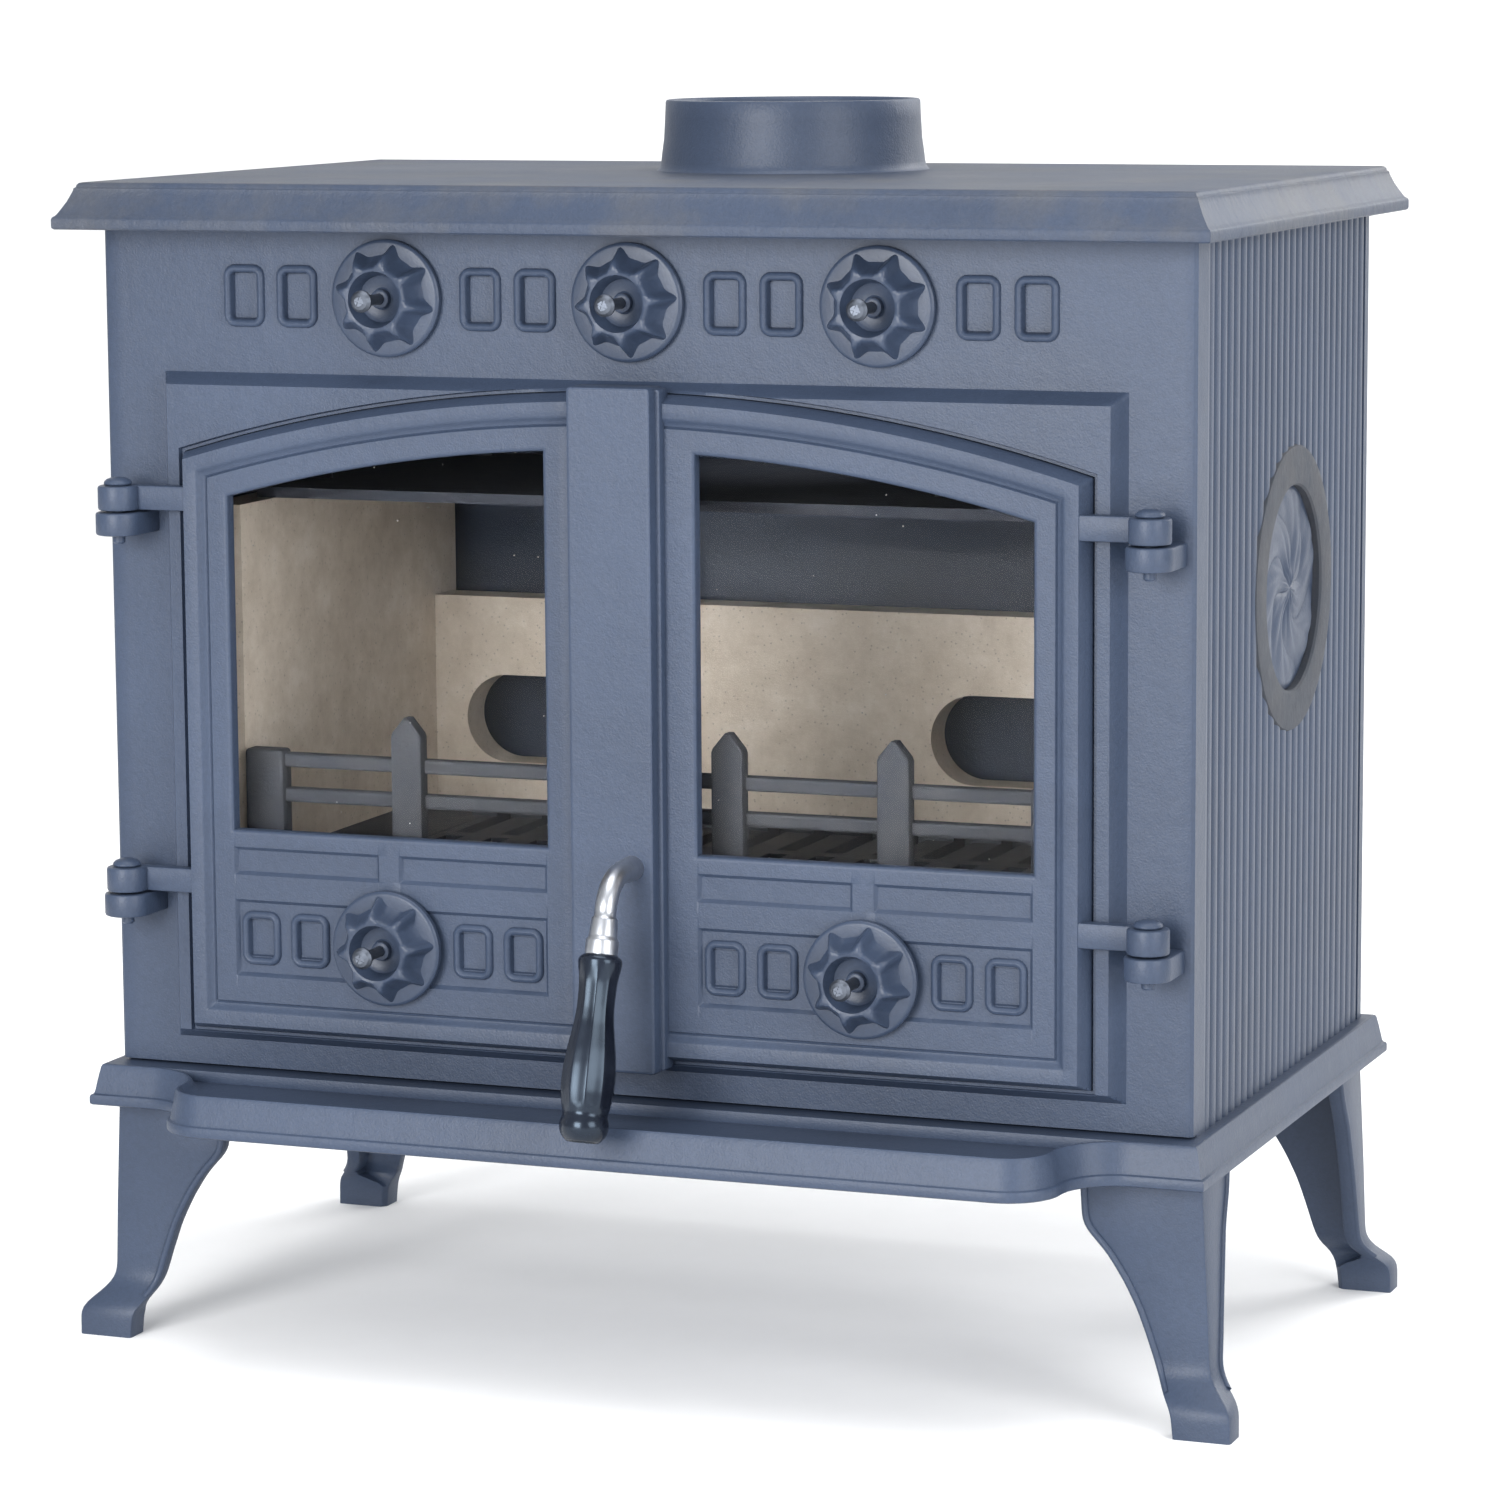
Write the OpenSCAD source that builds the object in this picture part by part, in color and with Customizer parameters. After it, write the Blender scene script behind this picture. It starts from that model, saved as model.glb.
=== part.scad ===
// Double-door cast iron wood burning stove on four splayed legs.
// The body front face lies in the XZ plane while it is drawn: X to the right, Y to the back,
// Z up from the underside of the body. place() then sets the whole stove down on the floor,
// with its origin under the middle of its outside box.

/* [Body] */
// Width over the side plates
body_w = 640; // [560:5:780]
// Depth from the front face to the back face
body_d = 356; // [300:2:430]
// Height between the base plate and the top plate
body_h = 478; // [440:2:580]
// Thickness of the cast plates
wall = 8; // [6:0.5:11]

/* [Top plate] */
// Overhang of the nosing past each side plate
top_side = 16; // [10:1:30]
// Overhang of the nosing past the front face
top_front = 32; // [20:1:45]
// Overhang of the nosing past the back face
top_back = 30; // [15:1:45]
// Height of the moulded edge
top_t = 26; // [20:1:36]
// Width of the sloped moulding
top_slope = 12.5; // [6:0.5:16]

/* [Flue collar] */
// Outside diameter of the straight end that the flue pipe slides over
flue_d = 149; // [120:1:180]
// Height of the collar above the top plate
flue_h = 41; // [30:1:70]
// Length of the straight end
flue_straight = 22; // [15:1:28]
// Wall of the collar
flue_wall = 6; // [4:0.5:8]
// Distance of the flue axis in front of the body's back face
flue_from_back = 102.5; // [97:0.5:120]

/* [Base plate and legs] */
// Overhang of the base moulding past each side plate
base_side = 12; // [8:1:18]
// Overhang of the base moulding past the front face, beside the ash lip
base_front = 20; // [14:1:26]
// Overhang of the base moulding past the back face
base_back = 17; // [10:1:24]
// Height of the base moulding
base_t = 23.5; // [18:0.5:32]
// Reach of the ash lip in front of the body
lip_out = 80; // [60:1:110]
// Height of the legs
leg_h = 138; // [110:1:200]
// Lean of each leg, both outwards and forwards or backwards
leg_lean = 4; // [0:0.5:7]
// Width of a leg flange where it meets the base
leg_w = 69; // [55:1:80]
// Width of the foot
foot_w = 30; // [24:1:36]

/* [Door surround] */
// Distance from the side of the body to the outer edge of the raised surround
surround_margin = 37; // [33:1:45]
// Height of the bottom edge of the surround above the base plate
surround_z0 = 17; // [12:1:22]
// Height of the top edge of the surround
surround_z1 = 398; // [380:1:410]
// How far the surround stands out of the front plate
surround_t = 12; // [8:0.5:14]

/* [Doors] */
// Distance from the side of the body to the outer edge of a door
door_margin = 53.5; // [50:0.5:60]
// Height of the bottom edge of the doors
door_z0 = 25.5; // [22:0.5:34]
// Height of the crown of the arched door top
arch_top = 392.5; // [375:0.5:396]
// Height of the arch, from its springing at the outer edge to its crown
arch_rise = 39; // [20:1:60]
// How far the door's border stands out of the surround
door_rise = 10; // [6:0.5:13]
// Depth of the panel behind the border
field_sink = 3; // [1:0.5:4]
// Width of the door's raised border
border_w = 16; // [12:0.5:18]
// Gap round the doors and between them
door_gap = 3; // [2:0.25:5]
// How far a door opens, in degrees
door_swing = 115; // [90:1:120]

/* [Window] */
// Width of the stile between the edge of a door and its window
stile_w = 30; // [26:0.5:36]
// Distance from the middle of the stove to each window
window_in = 44.5; // [44:0.5:52]
// Height of the window's bottom edge
window_z0 = 141.5; // [138:0.5:160]
// Height of the window's crown at the middle of the stove
window_top = 361.5; // [340:0.5:364]
// Thickness of the ceramic glass
glass_t = 4; // [3:0.5:5]

/* [Meeting bar and handle] */
// Width of the bar that covers the meeting edge
bar_w = 49; // [40:1:54]
// How far the bar stands out of the door border
bar_rise = 11; // [6:0.5:14]
// Distance of the spindle to the right of the middle
spindle_x = 12; // [6:0.5:14]
// Height of the spindle
spindle_z = 135.5; // [120:0.5:150]
// Diameter of the spindle
spindle_d = 14; // [10:0.5:16]
// Radius of the elbow's bend
elbow_r = 24; // [18:0.5:30]
// Angle between the hanging grip and the vertical
grip_tilt = 16.5; // [0:0.5:25]
// Length of the grip
grip_len = 101; // [80:1:130]
// Largest diameter of the grip
grip_d = 30; // [24:0.5:34]

/* [Hinges] */
// Distance from the side of the body to the hinge axis
hinge_in = 18; // [15:0.5:20]
// Distance of the hinge axis in front of the front plate
hinge_out = 24; // [22:0.5:28]
// Diameter of the hinge pins
pin_d = 7; // [6:0.5:9]
// Height of a door strap and of the boss at its end
strap_h = 14; // [10:0.5:20]
// Height of the upper strap's underside
hinge_z_upper = 321; // [300:1:330]
// Height of the lower strap's underside
hinge_z_lower = 104; // [90:1:130]

/* [Air wheels and ports] */
// Diameter of an air wheel
wheel_d = 65; // [50:0.5:70]
// Thickness of the wheel's flat rim
wheel_t = 5; // [4:0.5:7]
// Height of the wheel's fluted hand grip
wheel_grip_h = 14; // [10:0.5:20]
// Number of ridges round the hand grip
wheel_ridges = 8; // [6:1:12]
// Diameter of the long screw that a wheel turns on
screw_d = 6; // [5:0.5:8]
// Length of the screw in front of the wheel's seat
screw_out = 38; // [32:1:48]
// Height of the upper row of ports
vent_z = 441; // [436:1:445]
// Distance from the side of the body to the end of the upper row
vent_margin = 32; // [25:1:40]
// Height of the lower row of ports, in the doors
door_vent_z = 80; // [76:1:88]
// Width and height of an upper port
port_w = 25; // [18:1:27]
port_h = 35; // [28:1:38]
// Width and height of a door port
door_port_w = 24; // [18:1:25]
door_port_h = 31; // [26:1:34]

/* [Firebox] */
// Distance between the side liners
firebox_w = 498; // [440:2:500]
// Thickness of the liner boards
liner_t = 25; // [15:1:30]
// Distance from the front face to the face of the back liner
firebox_d = 285; // [230:1:290]
// Height of the fire bed above the base plate
bed_z = 116; // [112:1:124]
// Height of the side liners' top edge
liner_top = 321; // [300:1:330]
// Height of the back liner's top edge
back_liner_top = 241; // [232:1:270]
// Number of pickets in the fire fence
pickets = 4; // [2:1:6]

/* [Hidden] */

paint = "#6b768f";
soot = "#2e3036";
board = "#b5a58f";
steel = "#9a9ca0";
black = "#101114";

fine = 96;
run = 0.05;        // radial running clearance
free = 0.5;        // gap between pieces that move past each other
over = 1;          // overlap of cutting tools
face_y = -surround_t;                       // front of the surround
border_y = face_y - door_rise;              // front of a door's border
field_y = border_y + field_sink;            // front of a door's panel
bar_y = border_y - bar_rise;                // front of the meeting bar
panel_back = field_y + wall;                // back of a door's panel
rim_back = -4;                              // back of a door's rim
rim_w = 13;                                 // width of the rim behind the border
inner_rim_w = 8;                            // width of the rim at the meeting edge
rope_w = 8;
rope_sink = 4;
door_half = body_w / 2 - door_margin;
arch_r = (door_half * door_half + arch_rise * arch_rise) / (2 * arch_rise);
seal_lap = rim_w + 1.5;                     // how far a door laps over the plate round the opening
left_in = bar_w / 2 + door_gap;             // meeting edge of the left door, from the middle
right_in = -bar_w / 2;                      // meeting edge of the right door
window_out = door_half - stile_w;
window_r = arch_r - arch_top + window_top;   // concentric with the door's top
glass_lap = 6;
gasket_t = 1;
glass_front = panel_back + gasket_t;
clip_t = 1.5;
hinge_x = body_w / 2 - hinge_in;
boss_r = pin_d / 2 + 8;
lug_gap = 1;
lug_h = strap_h - 1;
vent_pitch = (body_w - 2 * vent_margin) / 4;
port_pitch = port_w + 7.6;
rim_t = 5;                                  // width of a port's raised rim
wheel_x = (window_in + window_out) / 2;     // middle of a door's lower panel
seat_t = 1.5;                               // raised seat behind a door's wheel
bowl_r = 16.5;
flue_r = flue_d / 2;
flue_y = body_d - flue_from_back;
flue_foot_r = flue_r + 3;
flange_r = flue_foot_r + 5;
flange_t = 6;
plate_z = body_h + top_t - wall;            // underside of the top plate's flat
flue_bolt_r = flue_foot_r + 11.5;
rear_z = body_h - 98;                       // height of the rear outlet
rear_r = 62;
rod_d = 10;
rod_x = body_w / 2 - wall - 16;
leg_pad = 50;                               // depth of a leg's bolting pad
rod_y = [leg_pad + 12.5, body_d - 17 - leg_pad - 12.5];
liner_y = [wall + 15, body_d - 39];
frame_h = wall;
fence_y = wall + 8;
bar_arm = spindle_x + bar_w / 2 + door_gap; // from the spindle to the left door
cam_len = bar_arm - 9;
elbow_drop = elbow_r * (1 - sin(grip_tilt));
elbow_reach = elbow_r * cos(grip_tilt);
arm_straight = 15;
ferrule_len = 34;
ball_r = grip_d * 0.45;
grip_at = ferrule_len - 10;                 // start of the grip along the arm
ball_at = grip_at + grip_len - ball_r * 0.6;
ball_y = bar_y - arm_straight - elbow_reach - ball_at * sin(grip_tilt);
leg_corner = body_w / 2 + 5;
fascia = 5;                                 // set-back of the base moulding above its nosing
toe = [6.5, 9];                             // how far the foot flares past the leg
rear_leg_y = body_d - 17;

box_front = ball_y - ball_r;
box_back = body_d + top_back;
module place() translate([0, -(box_front + box_back) / 2, leg_h + base_t]) children();

// ---- helpers ----
// Extrudes an outline drawn in x and z between two depths.
module slab(back, front) translate([0, back, 0]) rotate([90, 0, 0]) linear_extrude(back - front) children();
module round_rect(w, h, r) {
  square([w - 2 * r, h], center = true);
  square([w, h - 2 * r], center = true);
  for (x = [-1, 1], z = [-1, 1]) translate([x * (w / 2 - r), z * (h / 2 - r)]) circle(r, $fn = fine);
}
// Region under an arch of radius r whose crown is at the middle of the stove.
module under_arch(x0, x1, z0, crown, r) intersection() {
  translate([x0, z0]) square([x1 - x0, crown - z0]);
  translate([0, crown - r]) circle(r, $fn = 240);
}
module door_outline(x_in, d = 0, d_in = 0)
  under_arch(x_in + d_in, door_half - d, door_z0 + d, arch_top - d, arch_r - d);
module window_outline(d = 0)
  under_arch(window_in - d, window_out + d, window_z0 - d, window_top + d, window_r + d);
function arch_z(x, crown, r) = crown - r + sqrt(r * r - x * x);
module at(x, z) translate([x, 0, z]) children();
// Round bar along Y between two depths.
module rod_y(r, back, front, sides = fine) slab(back, front) circle(r, $fn = sides);
module mirrored(s) mirror([s < 0 ? 1 : 0, 0, 0]) children();

// ---- ports and wheels ----
// Blind port: a raised rounded rim round a sunk floor; seat is the depth it stands on.
module port_rim(w, h, seat, proud) slab(seat + over, seat - proud) difference() {
  round_rect(w, h, 6);
  round_rect(w - 2 * rim_t, h - 2 * rim_t, 2.5);
}
module port_sink(w, h, seat, depth) slab(seat + depth, seat - 10) round_rect(w - 2 * rim_t, h - 2 * rim_t, 2.5);
module port_pair(pitch, w, h) for (s = [-1, 1]) at(s * pitch / 2, 0) children();
module air_holes(back, front) {
  rod_y(screw_d / 2, back, front);
  for (a = [45:90:359]) rotate([0, a, 0]) at(18, 0) rod_y(5, back, front);
}
// Air wheel on a seat: flat rim, hollow fluted hand grip and a hub, bored for its screw.
module air_wheel(seat) {
  back = seat - free;
  front = back - wheel_t;
  top = front - wheel_grip_h;
  color(paint) difference() {
    union() {
      rod_y(wheel_d / 2, back, front);
      translate([0, front + over, 0]) rotate([90, 0, 0]) rotate_extrude($fn = fine)
        polygon([[0, 0], [24, 0], [18.8, wheel_grip_h + over - 0.9], [0, wheel_grip_h + over - 0.9]]);
      for (i = [0:wheel_ridges - 1]) rotate([0, i * 360 / wheel_ridges, 0])
        translate([0, front + over, 0]) rotate([90, 0, 0]) translate([0, 2.5, 0]) rotate([90, 0, 0])
          linear_extrude(5) polygon([[8, -1], [29, -1], [20.5, wheel_grip_h + over], [8, wheel_grip_h + over]]);
    }
    difference() {
      rod_y(bowl_r, front - 2, top - over);
      rod_y(5.5, front, front - 7);
    }
    rod_y(screw_d / 2 + run, back + over, top - over);
  }
}
// Long pan-head screw with a nut behind the plate.
module long_screw(seat, nut_face) color(steel) {
  head_y = seat - screw_out;
  rod_y(screw_d / 2, nut_face + 7, head_y);
  difference() {
    translate([0, head_y + 4, 0]) rotate([90, 0, 0]) rotate_extrude($fn = fine)
      polygon([[0, 0], [screw_d, 0], [screw_d, 1.5], [screw_d - 1.5, 3.4], [screw_d - 3.5, 4.5], [0, 4.5]]);
    for (a = [20, 110]) rotate([0, a, 0]) translate([-3, head_y - 2, -0.6]) cube([6, 3.5, 1.2]);
  }
  rod_y(screw_d * 0.95, nut_face + 5, nut_face, 6);
}

// ---- body ----
module lip_outline() {
  half = body_w / 2 - 57;
  turn = (lip_out - base_front) / 2;
  translate([-half + turn, -lip_out]) square([2 * (half - turn), lip_out]);
  translate([-half, -lip_out + turn]) square([2 * half, lip_out - turn]);
  for (s = [-1, 1]) {
    translate([s * (half - turn), -lip_out + turn]) circle(turn, $fn = fine);
    difference() {
      translate([s * half - (s < 0 ? turn : 0), -base_front - turn]) square([turn, turn + 1]);
      translate([s * (half + turn), -base_front - turn]) circle(turn, $fn = fine);
    }
  }
}
module base_plate() color(paint) place() difference() {
  union() {
    translate([-body_w / 2 - base_side, -base_front, -base_t])
      cube([body_w + 2 * base_side, body_d + base_front + base_back, base_t * 0.26]);
    translate([-body_w / 2 - base_side + fascia, -base_front + fascia, -base_t])
      cube([body_w + 2 * (base_side - fascia), body_d + base_front + base_back - 2 * fascia, base_t]);
    translate([0, 0, -base_t]) linear_extrude(base_t) lip_outline();
  }
  // hollow underside, with solid corners for the leg bolts
  translate([-body_w / 2 + 14, leg_w + 6, -base_t - over])
    cube([body_w - 28, rear_leg_y - 2 * leg_w - 12, base_t - wall + over]);
  translate([-leg_corner + leg_w + 14, 14, -base_t - over])
    cube([2 * (leg_corner - leg_w - 14), body_d - 28, base_t - wall + over]);
  // dished ash lip
  translate([0, -lip_out / 2 - 4, 60 - 6]) rotate([0, 90, 0])
    cylinder(r = 60, h = body_w - 190, center = true, $fn = fine);
  for (s = [-1, 1]) {
    for (y = rod_y) translate([s * rod_x, y, -base_t - over]) cylinder(d = rod_d, h = base_t + 2 * over, $fn = fine);
    for (y = [26, rear_leg_y - 26]) translate([s * (leg_corner - 46), y, -base_t - over])
      cylinder(d = 8, h = 16, $fn = fine);
  }
}
// Front right leg about the outer corner of its top: two flanges, a bolting pad and a foot.
module leg_shape() {
  w = leg_w;
  h = leg_h + 12;
  intersection() {
    union() {
      rotate([-leg_lean, -leg_lean, 0]) {
        translate([0, 8, 0]) rotate([90, 0, 0]) linear_extrude(8) flange(w, h);
        rotate([0, 0, 90]) mirror([0, 1, 0]) mirror([1, 0, 0]) translate([0, 8, 0]) rotate([90, 0, 0])
          linear_extrude(8) flange(w * 0.76, h);
      }
      translate([-w + 4, 4, -9]) cube([w - 6, leg_pad - 4, 9]);
      lean = leg_h * tan(leg_lean);
      translate([lean - foot_w + toe[0], -lean - toe[1], -leg_h]) cube([foot_w, foot_w + 2, 15]);
    }
    translate([-200, -200, -leg_h]) cube([400, 400, leg_h]);
  }
}
// Flange outline: straight at the top, then a concave sweep down to the ankle.
module flange(w, h) {
  ankle = foot_w * 0.95;
  sweep = w - ankle;
  difference() {
    translate([-w, -h]) square([w, h + 10]);
    translate([-w, -28 - sweep * 2.2]) scale_disc(sweep, sweep * 2.2);
    translate([-w - over, -h - over]) square([sweep + over, h - 27 - sweep * 2.2]);
  }
}
// Quarter of an oval drawn as a stack of straight facets.
module scale_disc(a, b) polygon(concat([[-1, 0]], [for (t = [0:7.5:90]) [a * cos(t), b * sin(t)]], [[-1, b]]));
module leg(s, front) color(paint) place() mirrored(s)
  translate([leg_corner, front ? 0 : rear_leg_y, -base_t]) mirror([0, front ? 0 : 1, 0]) difference() {
    leg_shape();
    translate([-46, 26, -20]) cylinder(d = 8, h = 40, $fn = fine);
  }
module leg_front_left() leg(-1, true);
module leg_front_right() leg(1, true);
module leg_rear_left() leg(-1, false);
module leg_rear_right() leg(1, false);
module leg_bolts() color(steel) place() for (s = [-1, 1], y = [26, rear_leg_y - 26])
  translate([s * (leg_corner - 46), y, -base_t - 9]) {
    cylinder(d = 8, h = 23, $fn = fine);
    translate([0, 0, -5.5]) cylinder(r = 7.5, h = 5.5, $fn = 6);
  }

module surround_outline(d) translate([-body_w / 2 + surround_margin + d, surround_z0 + d])
  square([body_w - 2 * surround_margin - 2 * d, surround_z1 - surround_z0 - 2 * d]);
module lug() difference() {
  union() {
    rod(boss_r + 1.5, lug_h);
    translate([-boss_r - 1.5, 0, 0]) cube([2 * boss_r + 3, hinge_out + over, lug_h]);
  }
  rod(pin_d / 2, lug_h, over);
}
module rod(r, h, extra = 0) translate([0, 0, -extra]) cylinder(r = r, h = h + 2 * extra, $fn = fine);
module vents() for (i = [-1:1]) at(i * vent_pitch, vent_z) children();
module front_plate() color(paint) place() {
  difference() {
    union() {
      slab(wall, 0) translate([-body_w / 2, 0]) square([body_w, body_h]);
      slab(over, face_y + 4) surround_outline(0);
      slab(over, face_y) surround_outline(5);
      for (i = [-1.5:1:1.5], s = [-1, 1]) at(i * vent_pitch + s * port_pitch / 2, vent_z) port_rim(port_w, port_h, 0, 3);
    }
    for (i = [-1.5:1:1.5], s = [-1, 1]) at(i * vent_pitch + s * port_pitch / 2, vent_z) port_sink(port_w, port_h, 0, 3);
    vents() air_holes(wall + over, -over);
    for (s = [-1, 1]) mirrored(s) {
      slab(0, face_y - over) door_outline(-over, -door_gap);
      slab(wall + over, -over) door_outline(-over, seal_lap);
    }
  }
  for (s = [-1, 1], z = [hinge_z_upper, hinge_z_lower])
    translate([s * hinge_x, -hinge_out, z - lug_gap - lug_h]) lug();
}
// Reeded side plate with a plain front strip and a round medallion.
module side_plate(s) color(paint) place() mirrored(s) {
  ribs = 26;
  strip = 15;
  pitch = (body_d - 2 * wall - strip) / ribs;
  x = body_w / 2;
  mid = [body_d * 0.55, body_h * 0.575];
  difference() {
    union() {
      translate([x - wall, wall, 0]) cube([wall - 1.5, body_d - 2 * wall, body_h]);
      translate([x - wall, wall, 0]) cube([wall, strip, body_h]);
      for (i = [0:ribs - 1]) translate([x - 3, wall + strip + i * pitch + 3, 0]) cube([3, pitch - 3, body_h]);
      translate([x - wall, mid[0], mid[1]]) rotate([0, 90, 0]) cylinder(r = 80, h = wall, $fn = fine);
    }
    translate([x - 2.5, mid[0], mid[1]]) rotate([0, 90, 0]) cylinder(r = 58, h = wall, $fn = fine);
  }
  translate([x - 4, mid[0], mid[1]]) rotate([0, 90, 0]) {
    cylinder(r = 14, h = 3, $fn = fine);
    for (a = [0:45:359]) rotate([0, 0, a]) translate([36, 0, 0]) cylinder(r = 12, h = 3, $fn = fine);
  }
  // ledge that carries the grate frame
  translate([x - wall - 12, body_d * 0.3, bed_z - frame_h - 12]) cube([13, body_d * 0.4, 12]);
}
module left_side_plate() side_plate(-1);
module right_side_plate() side_plate(1);
module back_plate() color(paint) place() difference() {
  translate([-body_w / 2, body_d - wall, 0]) cube([body_w, wall, body_h]);
  at(0, rear_z) rod_y(rear_r, body_d + over, body_d - wall - over);
  for (a = [0:90:359]) translate([0, 0, rear_z]) rotate([0, a, 0]) at(rear_r + 12, 0)
    rod_y(3, body_d + over, body_d - wall - over);
}
module rear_blanking_plate() color(paint) place() translate([0, 0, rear_z]) difference() {
  union() {
    rod_y(rear_r + 22, body_d + 6, body_d);
    rod_y(rear_r - free, body_d + over, body_d - 4);
  }
  for (a = [0:90:359]) rotate([0, a, 0]) at(rear_r + 12, 0) rod_y(3, body_d + 7, body_d - 1);
}
module blanking_bolts() color(steel) place() for (a = [0:90:359]) translate([0, 0, rear_z]) rotate([0, a, 0])
  at(rear_r + 12, 0) {
    rod_y(3, body_d + 6, body_d - wall - 4);
    rod_y(5.5, body_d + 10, body_d + 6, 6);
  }
module top_plate() color(paint) place() difference() {
  w = body_w / 2 + top_side;
  d = body_d + top_front + top_back;
  union() {
    translate([-w, -top_front, body_h]) cube([2 * w, d, top_t * 0.35]);
    hull() {
      translate([-w + 2, -top_front + 2, body_h + top_t * 0.35]) cube([2 * w - 4, d - 4, 0.5]);
      translate([-w + top_slope, -top_front + top_slope, body_h + top_t - 3])
        cube([2 * w - 2 * top_slope, d - 2 * top_slope, 3]);
    }
  }
  translate([-body_w / 2 + wall + 6, wall + 6, body_h - over])
    cube([body_w - 2 * wall - 12, body_d - 2 * wall - 12, top_t - wall + over]);
  translate([0, flue_y, body_h]) cylinder(r = flue_foot_r, h = top_t + over, $fn = fine);
  // room for a wide collar's flange in the rim behind it
  translate([0, flue_y, body_h - over]) cylinder(r = flange_r + 1, h = top_t - wall + over, $fn = fine);
  for (a = [30:120:359]) translate([0, flue_y, plate_z]) rotate([0, 0, a]) translate([flue_bolt_r, 0, -over])
    cylinder(d = 8, h = 6, $fn = fine);
  for (s = [-1, 1], y = rod_y) translate([s * rod_x, y, plate_z - over]) cylinder(d = rod_d, h = 6, $fn = fine);
}
module tie_rods() color(steel) place() for (s = [-1, 1], y = rod_y) translate([s * rod_x, y, -base_t]) {
  cylinder(d = rod_d, h = base_t + plate_z + 5, $fn = fine);
  translate([0, 0, -6.5]) cylinder(r = rod_d * 0.9, h = 6.5, $fn = 6);
}
module flue_collar() color(paint) place() translate([0, flue_y, plate_z]) {
  top = wall + flue_h;
  difference() {
    union() {
      rotate_extrude($fn = fine) polygon([
        [flue_r - flue_wall, -flange_t], [flange_r, -flange_t], [flange_r, 0], [flue_foot_r, 0], [flue_foot_r, wall],
        [flue_r, top - flue_straight], [flue_r, top], [flue_r - flue_wall, top]]);
      // three ears under the top plate take the bolts
      for (a = [30:120:359]) rotate([0, 0, a]) difference() {
        translate([flue_foot_r - 3, -12, -flange_t]) cube([26, 24, flange_t]);
        translate([0, 0, -flange_t - over]) cylinder(r = flue_foot_r - 3, h = flange_t + 2 * over, $fn = fine);
      }
    }
    for (a = [30:120:359]) rotate([0, 0, a]) translate([flue_bolt_r, 0, -flange_t - over])
      cylinder(d = 8, h = flange_t + 2 * over, $fn = fine);
  }
}
module collar_bolts() color(steel) place() for (a = [30:120:359]) translate([0, flue_y, plate_z])
  rotate([0, 0, a]) translate([flue_bolt_r, 0, -flange_t]) {
    cylinder(d = 8, h = flange_t + 5, $fn = fine);
    translate([0, 0, -5]) cylinder(r = 7, h = 5, $fn = 6);
  }

// ---- doors ----
clip_x = [window_in + 45, window_out - 50];
module clip_spots(x_in) for (x = clip_x) {
  at(x, window_z0 - glass_lap - 8) children();
  at(x, arch_z(x, window_top, window_r) + glass_lap + 6) mirror([0, 0, 1]) children();
}
module sunk(w, h, x, z, depth) at(x, z) slab(field_y + depth, field_y - over) square([w, h], center = true);
module door_body(x_in) {
  panel_w = window_out - window_in;
  difference() {
    union() {
      slab(rim_back, face_y) door_outline(x_in);
      slab(rim_back, border_y) door_outline(x_in, 4);
    }
    slab(field_y, border_y - over) door_outline(x_in, border_w, x_in > 0 ? -over : -over);
    slab(rim_back + over, panel_back) door_outline(x_in, rim_w, inner_rim_w);
    slab(over, bar_y) window_outline();
    for (s = [-1, 1]) sunk(panel_w / 2 - 6, 16, wheel_x + s * (panel_w / 4 + 3), window_z0 - 17.5, 2);
    sunk(panel_w, 44, wheel_x, door_vent_z, 2);
    slab(rim_back + over, rim_back - rope_sink) rope_outline(x_in, 0);
  }
  difference() {
    union() {
      at(wheel_x, door_vent_z) rod_y(wheel_d / 2 + 4, field_y + 3, field_y - seat_t);
      for (s = [-1, 1], t = [-1, 1]) at(wheel_x + s * panel_w * 0.34 + t * (door_port_w + 6.5) / 2, door_vent_z)
        port_rim(door_port_w, door_port_h, field_y + 2, 3);
      clip_spots(x_in) rod_y(5, panel_back + gasket_t + glass_t, panel_back - over);
    }
    slab(over, bar_y) window_outline();
  }
}
// Band that the rope seal lies in: the top, the outer side and the bottom of a door.
module rope_outline(x_in, d) difference() {
  door_outline(x_in, 2.5 + d, inner_rim_w + 1);
  door_outline(x_in, 2.5 + rope_w - d, -over);
}
module hinge_straps() for (z = [hinge_z_upper, hinge_z_lower]) difference() {
  union() {
    translate([door_half - 6, face_y - 9.5, z]) cube([hinge_x - door_half + 6, 8, strap_h]);
    translate([hinge_x, -hinge_out, z]) rod(boss_r, strap_h);
  }
  translate([hinge_x, -hinge_out, z]) rod(pin_d / 2 + run, strap_h, over);
}
module door_cuts() {
  at(wheel_x, door_vent_z) air_holes(0, bar_y);
  clip_spots(0) rod_y(2, 0, panel_back - 3);
}
module left_door() color(paint) place() mirrored(-1) {
  difference() {
    door_body(left_in);
    door_cuts();
  }
  hinge_straps();
}
module right_door() color(paint) place() {
  difference() {
    union() {
      door_body(right_in);
      slab(rim_back, bar_y) translate([right_in, surround_z0 + 4]) square([bar_w, surround_z1 - surround_z0 - 5]);
      at(spindle_x, spindle_z) rod_y(spindle_d / 2 + 6, rim_back, border_y);
    }
    slab(rim_back + over, rim_back - rope_sink) rope_outline(right_in, 0);
    // the bar's ends pass in front of the surround
    slab(over, face_y - free) translate([right_in - over, 0]) square([bar_w + 2 * over, door_z0]);
    slab(over, face_y - free) translate([right_in - over, arch_top - 1]) square([bar_w + 2 * over, 40]);
    at(spindle_x, spindle_z) rod_y(spindle_d / 2 + run, over, bar_y - over);
    door_cuts();
  }
  hinge_straps();
}
module glass(s) color("#5b6670", 0.35) place() mirrored(s)
  slab(glass_front + glass_t, glass_front) window_outline(glass_lap);
module left_glass() glass(-1);
module right_glass() glass(1);
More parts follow.
